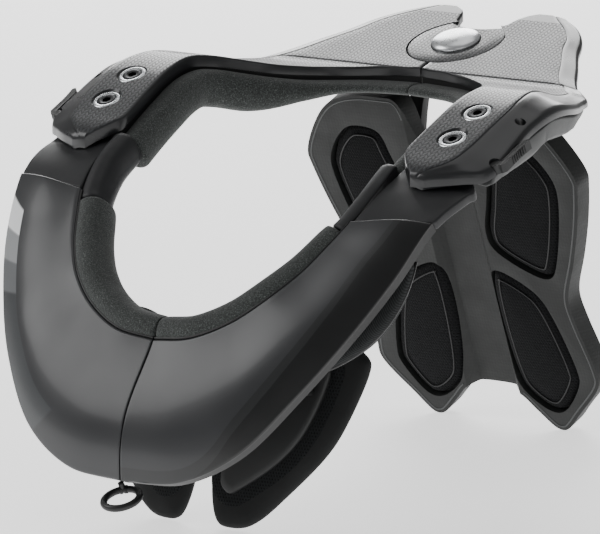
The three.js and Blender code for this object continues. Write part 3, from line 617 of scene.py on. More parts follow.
def wear(n, low, high, size_mm):
    """Roughness that drifts a little over the surface, as handling leaves it."""
    return drift(n, low, high, size_mm, 5.0, 0.6, (0.25, 0.75))


def band(n, value, low, high, soft=0.004):
    """1 between two values, with a crisp but not jagged edge."""
    up = n.add("MapRange", {"Value": value, "From Min": low - soft, "From Max": low + soft})
    down = n.add("MapRange", {"Value": value, "From Min": high - soft, "From Max": high + soft})
    return n.add("Math", (up, down), operation="SUBTRACT", use_clamp=True)


def surface_share(n, axis):
    """How far a point lies along its piece (X) or across it (Y), from the piece's own UV map."""
    surface = n.add("UVMap", uv_map="surface")
    return n.add("SeparateXYZ", (surface,), axis)


def zigzag(n, column_mm, stitch_mm):
    """Height of a moulded weave: slanting stitches in columns along Y that lean each way by turns."""
    across = n.add("Math", (n.add("SeparateXYZ", (n.place,), "X"), per(column_mm)), operation="MULTIPLY")
    along = n.add("Math", (n.add("SeparateXYZ", (n.place,), "Y"), per(stitch_mm)), operation="MULTIPLY")
    inside = n.add("Math", (across,), operation="FRACT")
    column = n.add("Math", (across,), operation="FLOOR")
    odd = n.add("Math", (column, 2.0), operation="FLOORED_MODULO")
    side = n.add("Math", (odd, 2.0, -1.0), operation="MULTIPLY_ADD")
    lean = n.add("Math", (inside, side), operation="MULTIPLY")
    slant = n.add("Math", (lean, STITCH_LEAN, along), operation="MULTIPLY_ADD")
    turn = n.add("Math", (slant, math.pi), operation="MULTIPLY")
    wave = n.add("Math", (turn,), operation="SINE")
    stitch = n.add("Math", (n.add("Math", (wave,), operation="ABSOLUTE"), 0.6), operation="POWER")
    arch = n.add("Math", (n.add("Math", (inside, math.pi), operation="MULTIPLY"),), operation="SINE")
    body = n.add("Math", (arch, 0.5), operation="POWER")
    return n.add("Math", (stitch, body), operation="MULTIPLY")


def painted_shell(side):
    """Injection-moulded nylon under satin lacquer, with plain blocks of film colour: soft long
    highlights, a crisp band edge and the faintest orange peel."""
    n = Nodes(f"lacquered_nylon_{side}", "2b2c2e", 0.34, Coat_Weight=0.2, Coat_Roughness=0.14)
    along, across = surface_share(n, "X"), surface_share(n, "Y")
    colour = mottle(n, "2b2c2e", 0.93, 1.05, 60)
    if side == "right":
        line = n.add("FloatCurve", {"Value": along}, stops=BAND_EDGE)
        depth = n.add("Math", (across, line), operation="SUBTRACT")
        layers = ((band(n, depth, -BAND_BORDER, 0.5), "1f2021"), (band(n, depth, 0.0, 1.5), "08090a"))
    else:
        edge = band(n, across, BLOCK_EDGE, 1.5)
        inward = n.add("Math", (1.0, across), operation="SUBTRACT")
        slanted = n.add("Math", (inward, BLOCK_SLANT, along), operation="MULTIPLY_ADD")
        layers = [(n.add("Math", (band(n, slanted, low, high), edge), operation="MULTIPLY"), shade)
                  for low, high, shade in LEFT_BLOCKS]
    for mask, shade in layers:
        colour = n.add("Mix", {0: mask, 6: colour, 7: linear(shade)}, 2, data_type="RGBA")
    n.join(colour, "Base Color")
    lip = band(n, across, 1.004, 3.0)
    n.join(n.add("Math", (lip, 0.35, wear(n, 0.3, 0.4, 35)), operation="MULTIPLY_ADD"), "Roughness")
    peel = n.add("TexNoise", {"Vector": n.place, "Scale": per(1.6), "Detail": 2.0})
    n.join(n.add("Bump", {"Height": peel, "Distance": 0.02 * MM, "Strength": 1.0}), "Normal")
    return n.material


def woven_plastic(name, bordered=True):
    """Nylon moulded with a carbon-like weave and lacquered: polished stitches over dull hollows, each
    drawn a little coarser than it is so that it shows. The colour holds painted shade in the
    hollows and a painted highlight on each stitch. The rim beyond the border is smooth."""
    n = Nodes(name, "1f2022", 0.3, Coat_Weight=0.25, Coat_Roughness=0.16)
    height = zigzag(n, WEAVE_COLUMN, WEAVE_STITCH)
    # Colour follows the weave's height: painted shade darkens the hollows and a painted highlight lightens
    # each stitch crown.
    shade = n.add("ValToRGB", {"Fac": height}, stops=(
        (0.0, linear("08090a")), (0.55, linear("1e2022")), (1.0, linear("36393c"))))
    colour = mottle(n, shade, 0.85, 1.12, 28, 3.0)
    inside = 1.0
    if bordered:
        along, across = surface_share(n, "X"), surface_share(n, "Y")
        sides = band(n, across, *WEAVE_ACROSS, 0.003)
        ends = band(n, along, *WEAVE_ALONG, 0.003)
        inside = n.add("Math", (sides, ends), operation="MULTIPLY")
        colour = n.add("Mix", {0: inside, 6: mottle(n, "1c1d1f", 0.95, 1.05, 30), 7: colour}, 2,
                       data_type="RGBA")
    n.join(colour, "Base Color")
    height = n.add("Math", (height, inside), operation="MULTIPLY")
    flat = n.add("Math", (1.0, height), operation="SUBTRACT")
    hollow = n.add("Math", (flat, inside), operation="MULTIPLY")
    polish = wear(n, 0.26, 0.33, 20)
    n.join(n.add("Math", (hollow, 0.42, polish), operation="MULTIPLY_ADD"), "Roughness")
    n.join(n.add("Bump", {"Height": height, "Distance": 0.08 * MM, "Strength": 1.0}), "Normal")
    return n.material


def moulded_plastic(name, colour, roughness, grain_mm, depth_mm, **shader):
    """Nylon or firm foam from a spark-eroded mould: an even fine grain that breaks up the highlight."""
    n = Nodes(name, colour, roughness, **shader)
    n.join(mottle(n, colour, 0.9, 1.1, 22), "Base Color")
    n.join(wear(n, roughness - 0.06, roughness + 0.07, 18), "Roughness")
    grain = n.add("TexNoise", {"Vector": n.place, "Scale": per(grain_mm), "Detail": 4.0, "Roughness": 0.6})
    n.join(n.add("Bump", {"Height": grain, "Distance": depth_mm * MM, "Strength": 1.0}), "Normal")
    return n.material


def pebbled_plastic(name, colour, roughness, pitch_mm):
    """Nylon from a mould etched with rows of fine pebbles: matt, with a faint even sparkle."""
    n = Nodes(name, colour, roughness)
    n.join(mottle(n, colour, 0.88, 1.12, 26), "Base Color")
    n.join(wear(n, roughness - 0.06, roughness + 0.07, 18), "Roughness")
    cells = n.add("TexVoronoi", {"Vector": n.place, "Scale": per(pitch_mm), "Randomness": 0.35})
    pebbles = n.add("Math", (1.0, cells), operation="SUBTRACT")
    n.join(n.add("Bump", {"Height": pebbles, "Distance": 0.14 * MM, "Strength": 1.0}), "Normal")
    return n.material


def foam_skin():
    """Closed-cell foam moulded with a pebbled skin: dull, with pale specks and shallow dimples."""
    n = Nodes("moulded_foam_skin", "1b1d1c", 0.85, Sheen_Weight=0.12, Sheen_Roughness=0.6,
              Specular_IOR_Level=0.35)
    fleck = n.add("TexNoise", {"Vector": n.place, "Scale": per(0.7), "Detail": 4.0, "Roughness": 0.7})
    specks = n.add("ValToRGB", {"Fac": fleck}, stops=(
        (0.35, linear("1c1e1e")), (0.55, linear("383c3a")), (0.75, linear("747876"))))
    n.join(mottle(n, specks, 0.88, 1.1, 16, 3.0), "Base Color")
    n.join(wear(n, 0.75, 0.95, 9), "Roughness")
    cells = n.add("TexVoronoi", {"Vector": n.place, "Scale": per(1.1)})
    dimples = n.add("Math", (1.0, cells), operation="SUBTRACT")
    n.join(n.add("Bump", {"Height": dimples, "Distance": 0.18 * MM, "Strength": 1.0}), "Normal")
    return n.material


def pad_cloth(name, colour, pitch_mm, hole_mm):
    """Knitted cover punched with rows of small holes over soft foam: matt, pricked with dots of
    painted shade where the holes are.
    """
    n = Nodes(name, colour, 0.9, Sheen_Weight=0.03, Sheen_Roughness=0.5, Specular_IOR_Level=0.2)
    u = n.add("Math", (n.add("SeparateXYZ", (n.place,), "X"), per(pitch_mm)), operation="MULTIPLY")
    v = n.add("Math", (n.add("SeparateXYZ", (n.place,), "Z"), per(pitch_mm)), operation="MULTIPLY")
    row = n.add("Math", (v,), operation="FLOOR")
    odd = n.add("Math", (row, 2.0), operation="FLOORED_MODULO")
    shifted = n.add("Math", (odd, 0.5, u), operation="MULTIPLY_ADD")
    beside = n.add("Math", (n.add("Math", (shifted,), operation="FRACT"), 0.5), operation="SUBTRACT")
    above = n.add("Math", (n.add("Math", (v,), operation="FRACT"), 0.5), operation="SUBTRACT")
    square = n.add("Math", (beside, beside), operation="MULTIPLY")
    away = n.add("Math", (n.add("Math", (above, above, square), operation="MULTIPLY_ADD"),), operation="SQRT")
    reach = hole_mm / pitch_mm / 2
    hole = n.add("MapRange", {"Value": away, "From Min": reach, "From Max": reach + 0.12})
    cover = mottle(n, colour, 0.85, 1.15, 8)
    # The holes are painted near-black: painted shade inside each hole.
    n.join(n.add("Mix", {0: hole, 6: linear("030303"), 7: cover}, 2, data_type="RGBA"), "Base Color")
    thread = n.add("TexNoise", {"Vector": n.place, "Scale": per(0.5), "Detail": 2.0})
    height = n.add("Math", (thread, 0.3, hole), operation="MULTIPLY_ADD")
    n.join(n.add("Bump", {"Height": height, "Distance": 0.25 * MM, "Strength": 1.0}), "Normal")
    return n.material


def ribbed_mesh(name, colour, pitch_mm):
    """Spacer fabric with fine raised ribs: matt, with even slanting lines drawn as painted shade in
    the grooves and a painted highlight on the rib crowns.
    """
    n = Nodes(name, colour, 0.85, Sheen_Weight=0.05, Sheen_Roughness=0.5, Specular_IOR_Level=0.25)
    x, z = (n.add("SeparateXYZ", (n.place,), axis) for axis in "XZ")
    slant = n.add("Math", (z, 0.7, x), operation="MULTIPLY_ADD")
    turn = n.add("Math", (slant, math.pi * per(pitch_mm)), operation="MULTIPLY")
    rib = n.add("Math", (n.add("Math", (turn,), operation="SINE"),), operation="ABSOLUTE")
    # Colour follows the ribs: painted shade in the grooves and a painted highlight on the crowns.
    shade = n.add("ValToRGB", {"Fac": rib}, stops=(
        (0.0, linear("0c0d0e")), (0.6, linear(colour)), (1.0, linear("2c2e2f"))))
    n.join(mottle(n, shade, 0.85, 1.1, 12, 3.0), "Base Color")
    knit = n.add("TexNoise", {"Vector": n.place, "Scale": per(0.6), "Detail": 2.0})
    height = n.add("Math", (knit, 0.4, rib), operation="MULTIPLY_ADD")
    n.join(n.add("Bump", {"Height": height, "Distance": 0.16 * MM, "Strength": 1.0}), "Normal")
    return n.material


def soft_rubber(name, colour, roughness):
    """Moulded rubber: smooth, with a faint bloom."""
    n = Nodes(name, colour, roughness)
    n.join(mottle(n, colour, 0.88, 1.12, 9), "Base Color")
    n.join(wear(n, roughness - 0.08, roughness + 0.1, 6), "Roughness")
    bloom = n.add("TexNoise", {"Vector": n.place, "Scale": per(0.35), "Detail": 3.0})
    n.join(n.add("Bump", {"Height": bloom, "Distance": 0.02 * MM, "Strength": 1.0}), "Normal")
    return n.material


def turned_metal(name, colour, roughness, low, high):
    """Machined metal with a fine matt finish: a soft metal sheen with small scuffs."""
    n = Nodes(name, colour, roughness, Metallic=1.0)
    n.join(mottle(n, colour, 0.94, 1.04, 4), "Base Color")
    n.join(wear(n, low, high, 3), "Roughness")
    blast = n.add("TexNoise", {"Vector": n.place, "Scale": per(0.25), "Detail": 3.0})
    n.join(n.add("Bump", {"Height": blast, "Distance": 0.012 * MM, "Strength": 1.0}), "Normal")
    return n.material


bib_paint = {side: painted_shell(side) for side, _ in SIDES}
weave = woven_plastic("moulded_weave_arm")
hub_weave = woven_plastic("moulded_weave_hub", bordered=False)
link_plastic = moulded_plastic("grained_nylon_link", "1b1c1e", 0.52, 0.45, 0.03)
frame_plastic = moulded_plastic("grained_nylon_frame", "121313", 0.55, 0.6, 0.05)
chassis_plastic = moulded_plastic("grained_nylon_chassis", "252727", 0.5, 0.4, 0.03)
plate_plastic = pebbled_plastic("pebbled_nylon_plate", "131514", 0.62, 1.9)
hinge_plastic = moulded_plastic("grained_nylon_hinge", "151617", 0.55, 0.5, 0.04)
lever_plastic = moulded_plastic("grained_nylon_lever", "131415", 0.5, 0.4, 0.03)
foam = foam_skin()
sleeve_rubber = soft_rubber("moulded_rubber_sleeve", "191a1c", 0.5)
loop_rubber = soft_rubber("moulded_rubber_loop", "0e0f10", 0.42)
trim_rubber = soft_rubber("moulded_rubber_trim", "0a0a0b", 0.35)
edge_trim = soft_rubber("moulded_edge_piping", "3f4141", 0.35)
inset_cloth = pad_cloth("punched_knit_inset", "0b0c0e", 1.8, 0.7)
shoulder_cloth = ribbed_mesh("ribbed_knit_shoulder", "232525", 1.1)
chest_foam = moulded_plastic("moulded_foam_chest", "161717", 0.78, 0.7, 0.06, Specular_IOR_Level=0.3)
chest_mesh = pad_cloth("punched_knit_chest", "17191a", 1.7, 0.8)
bolt_steel = turned_metal("turned_steel", "d5d8da", 0.26, 0.18, 0.34)
blacked_steel = turned_metal("black_oxide_steel", "2a2b2d", 0.36, 0.3, 0.45)
button_metal = turned_metal("blasted_aluminium", "e6e8ea", 0.3, 0.24, 0.36)


# Bib.

BIB_ROWS = [BIB_END * s for s in edge_spaced(84, 0.008)]
BIB_SHARES = edge_spaced(26, 0.022)
# About how many millimetres one row of the bib is long, at its ends and at the seam.
BIB_ROW_LENGTH = 25
SEAM_ROW_LENGTH = 24
BIB_INNER_RADIUS = 1.2
BIB_OUTER_RADIUS = 0.7
BIB_END_RADIUS = 0.9
UNDER_FRAME = SKIN + GAP + FRAME_DEPTH + GAP
SHOULDER_FROM = 3.3
SHOULDER_TO = BIB_END - 0.35
LIP_STEPS = (0.9, 1.6, 2.6, 4.0, 5.4, 6.4, LIP_DEPTH)
# Inner face of the lip: across the bib and down, of LIP_DEPTH.
LIP_INSIDE = ((0.955, 0.6), (0.957, 0.75), (0.958, 0.85), (0.959, 0.93), (0.96, 0.97), (0.96, 1.0))


def front_shell(side_name, side):
    tops, unders, uv_tops, uv_unders = [], [], [], []
    for row in BIB_ROWS:
        end = rounding(min(row, BIB_END - row) * BIB_ROW_LENGTH, BIB_END_RADIUS)
        width = np.linalg.norm(outer_at(row) - inner_at(row))
        top, uv_top = [], []
        for share in BIB_SHARES:
            from_inner = rounding(share * width, BIB_INNER_RADIUS)
            from_outer = rounding((1 - share) * width, BIB_OUTER_RADIUS)
            sink = max(from_inner, from_outer, end)
            top.append(bib_point(row, share, sink))
            uv_top.append((row / BIB_END, share))
        for depth in LIP_STEPS:
            top.append(bib_point(row, 1 - 0.005 * depth / LIP_DEPTH, min(max(depth, end), LIP_DEPTH)))
            uv_top.append((row / BIB_END, 1 + 0.1 * depth / LIP_DEPTH))
        under = [bib_point(row, s * 0.945, SKIN) for s in BIB_SHARES]
        under.append(bib_point(row, 0.953, SKIN + 0.8))
        under += [bib_point(row, across, LIP_DEPTH * down) for across, down in LIP_INSIDE]
        tops.append(np.array(top))
        unders.append(np.array(under))
        uv_tops.append(np.array(uv_top))
        uv_unders.append(np.array([(u, min(v, 0.5)) for u, v in uv_top]))
    rings, uvs = sheet_rings(tops, unders, uv_tops, uv_unders)
    rings = np.array(rings)
    rings[..., 0] = np.maximum(rings[..., 0], SEAM_GAP / 2)
    shell = smooth(tube(f"bib_shell_{side_name}", rings, uvs, side=side), 40)
    return settle(shell, f"{side_name}_half", bib_paint[side_name], "gloss_shell", f"front_shell_{side_name}")


def bib_piping(side_name, side):
    """Thin double bead between the bib and the foam."""
    beads = []
    for number, (share, sink, radius) in enumerate(((-0.012, 1.3, 0.75), (-0.03, 2.6, 0.6))):
        path = np.array([bib_point(row, share, sink) for row in np.linspace(0.02, 5.96, 110)])
        path[:, 0] = np.maximum(path[:, 0], SEAM_GAP / 2)
        beads.append(wire(f"bead_{number}", path, radius, side=side))
    bead = smooth(joined(f"bib_piping_{side_name}", *beads), 60)
    return settle(bead, f"{side_name}_half", trim_rubber, "sleeve_rubber")


def shoulder_bulge(row):
    """How full the shoulder pad is at a row of the bib, up to 1 at its middle."""
    return math.sin(math.pi * (0.12 + 0.76 * (row - SHOULDER_FROM) / (SHOULDER_TO - SHOULDER_FROM)))


def shoulder_edge(row):
    """Outer edge of the shoulder pad as a share across the bib."""
    return mix(0.72, 1.05, shoulder_bulge(row))


def shoulder_pad(side_name, side):
    low = UNDER_FRAME + GAP
    stations = []
    for row in np.linspace(SHOULDER_FROM, SHOULDER_TO, 7):
        shares = [mix(0.3, shoulder_edge(row), (part - 0.34) / 0.66) for part in (0.34, 0.5, 0.7, 0.88, 1)]
        thick = SHOULDER_PAD_DEPTH * mix(0.5, 1, shoulder_bulge(row))
        upper = (low + 1, low, low, low, low + 1)
        lower = (low + thick * 0.72, low + thick, low + thick, low + thick, low + thick * 0.72)
        top = [bib_point(row, s, depth) for s, depth in zip(shares, upper)]
        under = [bib_point(row, s, depth) for s, depth in zip(shares, lower)]
        stations.append(np.array(top + under[::-1]))
    rings = dense(stations, 40)
    rings = [[spline(ring, i / 48, closed=True) for i in range(48)] for ring in rings]
    shrink = [smoothstep(t, -0.02, 0.1) * smoothstep(1 - t, -0.02, 0.1) for t in np.linspace(0, 1, 40)]
    rings = [mix(np.mean(ring, axis=0), np.array(ring), mix(0.55, 1.0, s)) for ring, s in zip(rings, shrink)]
    pad = smooth(tube(f"shoulder_pad_cover_{side_name}", rings, side=side), 50)
    settle(pad, f"{side_name}_half", shoulder_cloth, "shoulder_foam", f"shoulder_pad_{side_name}")
    edge = [bib_point(row, shoulder_edge(row) + 0.005, low + 4.5)
            for row in np.linspace(SHOULDER_FROM + 0.15, BIB_END - 0.5, 50)]
    bead = smooth(wire(f"shoulder_piping_{side_name}", edge, 0.9, side=side), 60)
    return settle(bead, f"{side_name}_half", trim_rubber, "sleeve_rubber")


# Arm, link and chassis.

def side_link(side_name, side):
    stations = []
    for row, sink in ((BIB_END + 0.02, 1.0), (BIB_END + 0.5, 1.8), (BIB_END + 1.0, 3.0), (BIB_END + 1.5, 5.0),
                      (BIB_END + 1.85, 6.4)):
        off = ring_frame(row)[2]
        inner, outer = inner_at(row) - off * sink, outer_at(row) - off * sink * 0.5
        top = [mix(inner, outer, s) for s in np.linspace(0.015, 1, 9)]
        stations.append(np.array(top + [p - off * LINK_THICKNESS for p in reversed(top)]))
    for index in (4, 5, 6, 7):
        edge, y, z, border, _, _, thickness = arm_at(index)
        first = FOAM_SEAT / (border - edge)
        top = [np.array((mix(edge, border, s), y, z - thickness - GAP)) for s in np.linspace(first, 0.98, 9)]
        stations.append(np.array(top + [p - np.array((0, 0, LINK_THICKNESS)) for p in reversed(top)]))
    link = soften(tube(f"side_link_shell_{side_name}", dense(stations, 60), side=side), 1.3, angle=55)
    smooth(link, 40)
    return settle(link, f"{side_name}_half", link_plastic, "matte_shell", f"side_link_{side_name}")


def chassis(side_name, side):
    stations = []
    for i, depth in enumerate((0.45, 0.72, 0.95, 1.0, 1.0, 0.98, 0.88, 0.72, 0.5, 0.3)):
        index = 4 + i
        edge, y, z, border, outer, drop, thickness = arm_at(index)
        sunk = LINK_THICKNESS + GAP if index < 8 else 0
        first = FOAM_SEAT / (border - edge)
        top = []
        for share in (first, (first + 1) / 2, 1, 1.5, 1.85):
            x = mix(edge, border, share) if share <= 1 else mix(border, outer, share - 1)
            fall = 0 if share <= 1 else drop * (share - 1) ** 0.9 - sunk * (share - 1)
            top.append(np.array((x, y, z - fall - thickness - 2 * GAP - sunk)))
        under = [p - np.array((2 if k == 4 else 0, 0, CHASSIS_DEPTH * depth * (0.7 if k == 4 else 1)))
                 for k, p in enumerate(top)]
        stations.append(np.array(top + under[::-1]))
    body = soften(tube(f"arm_chassis_{side_name}", dense(stations, 50), side=side), 1.4, angle=50)
    smooth(body, 40)
    return settle(body, f"{side_name}_half", chassis_plastic, "chassis_plastic", f"chassis_{side_name}")


ARM_SECTIONS = 240
ARM_ROW_LENGTH = 4.5
NOSE_RADIUS = 1.8
ARM_INNER_RADIUS = 1.4
ARM_OUTER_RADIUS = 2.2
GROOVE_SHARE = 1.03
GROOVE_DEPTH = 0.55
GROOVE_HALF_WIDTH = 1.1
RECESS_CHAMFER = 1.6
DIMPLE_FLANK = 0.62
CUT_REACH = 40
ARM_SHARES = [0.0, 0.004, 0.012, 0.025, 0.045] + list(np.linspace(0.1, 0.94, 16)) + [
    0.965, 0.985, 1.0, 1.03, 1.07, 1.12, 1.3, 1.5, 1.68, 1.82, 1.9, 1.95, 1.98, 2.0]


def arm_shell(side_name, side):
    tops, unders, uv_tops, uv_unders = [], [], [], []
    for step in range(ARM_SECTIONS + 1):
        along = step / ARM_SECTIONS
        index = (len(ARM) - 1) * step / ARM_SECTIONS
        edge, y, z, border, outer, drop, thickness = arm_at(index)
        nose = rounding(min(index, len(ARM) - 1 - index) * ARM_ROW_LENGTH, NOSE_RADIUS)
        top, under, uv = [], [], []
        for share in ARM_SHARES:
            x = mix(edge, border, share) if share <= 1 else mix(border, outer, share - 1)
            fall = drop * max(share - 1, 0) ** 0.9
            off_groove = abs((share - GROOVE_SHARE) * (outer - border))
            groove = GROOVE_DEPTH * max(0.0, 1 - off_groove / GROOVE_HALF_WIDTH)
            from_inner = rounding(abs(x - edge), ARM_INNER_RADIUS)
            from_outer = rounding(abs(outer - x), ARM_OUTER_RADIUS)
            top.append((x, y, z - fall - max(from_inner, from_outer, nose) - groove))
            lift = 1.5 * smoothstep(share, 1.8, 1.95)
            under.append((x, y, z - fall - thickness + lift))
            uv.append((along, share / 2))
        tops.append(np.array(top))
        unders.append(np.array(under))
        uv_tops.append(np.array(uv))
        uv_unders.append(np.array(uv))
    rings, uvs = sheet_rings(tops, unders, uv_tops, uv_unders)
    shell = tube(f"arm_shell_{side_name}", rings, uvs, side=side)
    tools = [cutter(CAP_RADIUS + 2 * GAP, -CUT_REACH, CUT_REACH, HUB_PLACE, 128, side)]
    recess = [(RECESS_RADIUS, -RECESS_DEPTH), (RECESS_RADIUS, -0.7), (RECESS_RADIUS + RECESS_CHAMFER, 0.9),
              (RECESS_RADIUS + RECESS_CHAMFER, 12)]
    tools += [lathe("cutter", recess, spot, 72, side) for spot in BOLT_PLACES.values()]
    tools.append(cutter(LEVER_BOSS + GAP, -LEVER_HEIGHT, LEVER_HEIGHT, LEVER_PLACE, 32, side))
    _, y, z, border, outer, drop, _ = arm_at(DIMPLE_ROW)
    dimple = turned((mix(border, outer, DIMPLE_FLANK), y, z - drop * DIMPLE_FLANK), ARM_PITCH)
    dent = [(DIMPLE_RADIUS * 0.5, -3.2), (DIMPLE_RADIUS, -1.4), (DIMPLE_RADIUS + 0.5, 1.5),
            (DIMPLE_RADIUS + 0.5, 9)]
    tools.append(lathe("cutter", dent, dimple, 40, side))
    carve(shell, *tools)
    smooth(shell, 38)
    return settle(shell, f"{side_name}_half", weave, "woven_shell", f"rear_shell_{side_name}")


def bolt(name, spot, side_name, side):
    """Blacked socket screw whose head sits inside a bright collar."""
    seat = -RECESS_DEPTH + GAP
    end = -(SHELL_THICKNESS + LINK_THICKNESS) * math.cos(ARM_PITCH)
    rim = RECESS_RADIUS - GAP
    core = rim - COLLAR_WIDTH
    profile = [(AXIS, end), (SHANK_RADIUS, end), (SHANK_RADIUS, seat), (core, seat), (core, -1.1),
               (core - 0.25, -0.75), (core - 0.6, -0.6), (SOCKET_RADIUS + 0.9, -0.45),
               (SOCKET_RADIUS + 0.5, -0.6), (AXIS, -0.6)]
    head = lathe(f"screw_{name}_{side_name}", profile, spot, 56, side)
    carve(head, cutter(SOCKET_RADIUS, -2.6, 3, spot, 6, side))
    smooth(head, 35)
    settle(head, f"{side_name}_half", blacked_steel, "bolt_steel", f"bolt_{name}_{side_name}")
    hole = core + 0.15
    ring = [(hole, seat), (rim - 0.3, seat), (rim, seat + 0.3), (rim, -0.75), (rim - 0.3, -0.45),
            (rim - 0.7, -0.35), (hole + 0.5, -0.35), (hole + 0.15, -0.5), (hole, -0.8), (hole, seat)]
    collar = smooth(lathe(f"collar_{name}_{side_name}", ring, spot, 72, side), 35)
    return settle(collar, f"{side_name}_half", bolt_steel, "bolt_steel")


def lever(side_name, side):
    half = LEVER_HEIGHT / 2
    out = LEVER_BOSS * 0.5 + GAP
    flat = [(out + LEVER_BLADE * across, LEVER_BOSS * along) for across, along in
            ((0, -0.3), (0.6, -0.3), (1, 0.4))]
    flat += [(out + LEVER_BLADE * across, LEVER_LENGTH * along) for across, along in
             ((1, 0.6), (1.3, 0.95), (0.9, 1), (0.2, 0.9), (0, 0.5))]
    rings = [in_place(LEVER_PLACE, [(x, y, z) for x, y in flat]) for z in (-half, half)]
    blade = tube(f"release_lever_{side_name}", rings, side=side)
    boss = cutter(LEVER_BOSS, -half, half, LEVER_PLACE, 32, side)
    carve(blade, boss, operation="UNION")
    soften(blade, 0.6, angle=35)
    ribs = []
    for k in range(LEVER_RIBS):
        at = LEVER_LENGTH * (0.32 + 0.075 * k)
        bulge = LEVER_BLADE + out + (0.25 if k < 4 else 0.5)
        path = in_place(LEVER_PLACE, [(bulge, at, z) for z in np.linspace(-half + 0.5, half - 0.5, 5)])
        ribs.append(wire(f"rib_{k}", path, 0.42, sides=8, side=side))
    lever_piece = smooth(joined(f"release_lever_{side_name}", blade, *ribs), 40)
    body = f"lever_{side_name}_body"
    return settle(lever_piece, body, lever_plastic, "lever_plastic", f"lever_{side_name}")


# Foam round the neck opening. Each piece starts and ends at a row of INNER_ROWS, or between two.

FRONT_FOAM_ROWS = (0, 5.58)
SLEEVE_ROWS = (5.6, 7.788)
REAR_FOAM_ROWS = (7.8, 18)
WEB_ROWS = (8, 18)
# Section of the wall under the deck: outward from the ring and down.
WEB_SECTION = ((1.2, 4.2), (3.0, 4.2), (3.0, 13), (1.2, 13))


def ring_foam(name, side, from_row, to_row, count, width, depth_from, depth_to, sink, seat):
    """Moulded strip round the ring: sunk below it, and tucked outwards under its edge as far as seat."""
    rings = []
    rows = [from_row + (to_row - from_row) * s for s in edge_spaced(count, 0.012, 5)]
    for row in rows:
        origin, across, off = ring_frame(row)
        depth = mix(depth_from, depth_to, smoothstep(row, to_row - 5, to_row - 1.4))
        places = np.array([origin + across * (seat if o > 0 else o * width) + off * (r * depth - sink)
                           for o, r in FOAM_SECTION])
        ring = np.array([spline(places, i / 56, closed=True) for i in range(56)])
        end = min(row - from_row, to_row - row) * FOAM_ROW_LENGTH
        middle = ring.mean(axis=0)
        reach = np.linalg.norm(ring - middle, axis=1)[:, None]
        ring = middle + (ring - middle) * (1 - rounding(end, FOAM_END_RADIUS) / reach)
        rings.append(ring)
    rings = np.array(rings)
    rings[..., 0] = np.maximum(rings[..., 0], SEAM_GAP / 2)
    return smooth(tube(name, rings, side=side), 50)


def neck_lining(side_name, side):
    front = ring_foam(f"neck_pad_front_{side_name}", side, *FRONT_FOAM_ROWS, 80, FOAM_WIDTH, FOAM_DEPTH,
                      FOAM_DEPTH, 0, FOAM_TUCK)
    settle(front, f"{side_name}_half", foam, "foam_skin", f"neck_foam_front_{side_name}")
    sleeve = ring_foam(f"neck_sleeve_{side_name}", side, *SLEEVE_ROWS, 40, FOAM_WIDTH * 0.86,
                       FOAM_DEPTH * 0.92, FOAM_DEPTH * 0.92, 1, -2 * GAP)
    settle(sleeve, f"{side_name}_half", sleeve_rubber, "sleeve_rubber", f"foam_sleeve_{side_name}")
    rear = ring_foam(f"neck_pad_rear_{side_name}", side, *REAR_FOAM_ROWS, 110, FOAM_WIDTH * 0.9,
                     FOAM_DEPTH * 0.9, REAR_FOAM_DEPTH, SHELL_THICKNESS, FOAM_TUCK)
    settle(rear, f"{side_name}_half", foam, "foam_skin", f"neck_foam_rear_{side_name}")


def deck_web(side_name, side):
    """Wall under the deck's inner edge, behind the rear foam."""
    rings = []
    for row in np.linspace(*WEB_ROWS, 120):
        origin, across, off = ring_frame(row)
        rings.append([origin + across * out - off * down for out, down in WEB_SECTION])
    rings = np.array(rings)
    rings[..., 0] = np.maximum(rings[..., 0], SEAM_GAP / 2)
    web = smooth(tube(f"deck_web_{side_name}", rings, side=side), 40)
    return settle(web, f"{side_name}_half", frame_plastic, "frame_plastic")


# Hub.

def hub():
    disc = [(AXIS, -CAP_THICKNESS), (CAP_RADIUS - 0.4, -CAP_THICKNESS), (CAP_RADIUS, -CAP_THICKNESS + 0.4),
            (CAP_RADIUS, -1.0), (CAP_RADIUS - 0.3, -0.35), (CAP_RADIUS - 1.0, 0.0),
            (BUTTON_RADIUS + 2, 0.0), (AXIS, 0.0)]
    cap = lathe("hub_disc", disc, HUB_PLACE, 144)
    notch_place = HUB_PLACE @ Matrix.Translation((0, NOTCH_REACH + NOTCH_RADIUS, 0))
    notch = cutter(NOTCH_RADIUS, -CUT_REACH, CUT_REACH, notch_place, 160)
    carve(cap, notch, cutter(BUTTON_RADIUS + GAP, -BUTTON_SEAT - GAP, CUT_REACH, HUB_PLACE, 96))
    smooth(cap, 30)
    settle(cap, "core", hub_weave, "woven_shell", "hub_cap")
    dome = [(AXIS, -BUTTON_SEAT), (BUTTON_RADIUS - 0.2, -BUTTON_SEAT), (BUTTON_RADIUS, -BUTTON_SEAT + 0.2)]
    for t in np.linspace(0.02, 1, 22):
        angle = t * math.pi / 2
        out = max(BUTTON_RADIUS * math.cos(angle) ** 0.8, AXIS)
        dome.append((out, GAP + (BUTTON_RISE - GAP) * math.sin(angle)))
    button = smooth(lathe("hub_dome", dome, HUB_PLACE, 96), 50)
    settle(button, "core", button_metal, "button_metal", "hub_button")


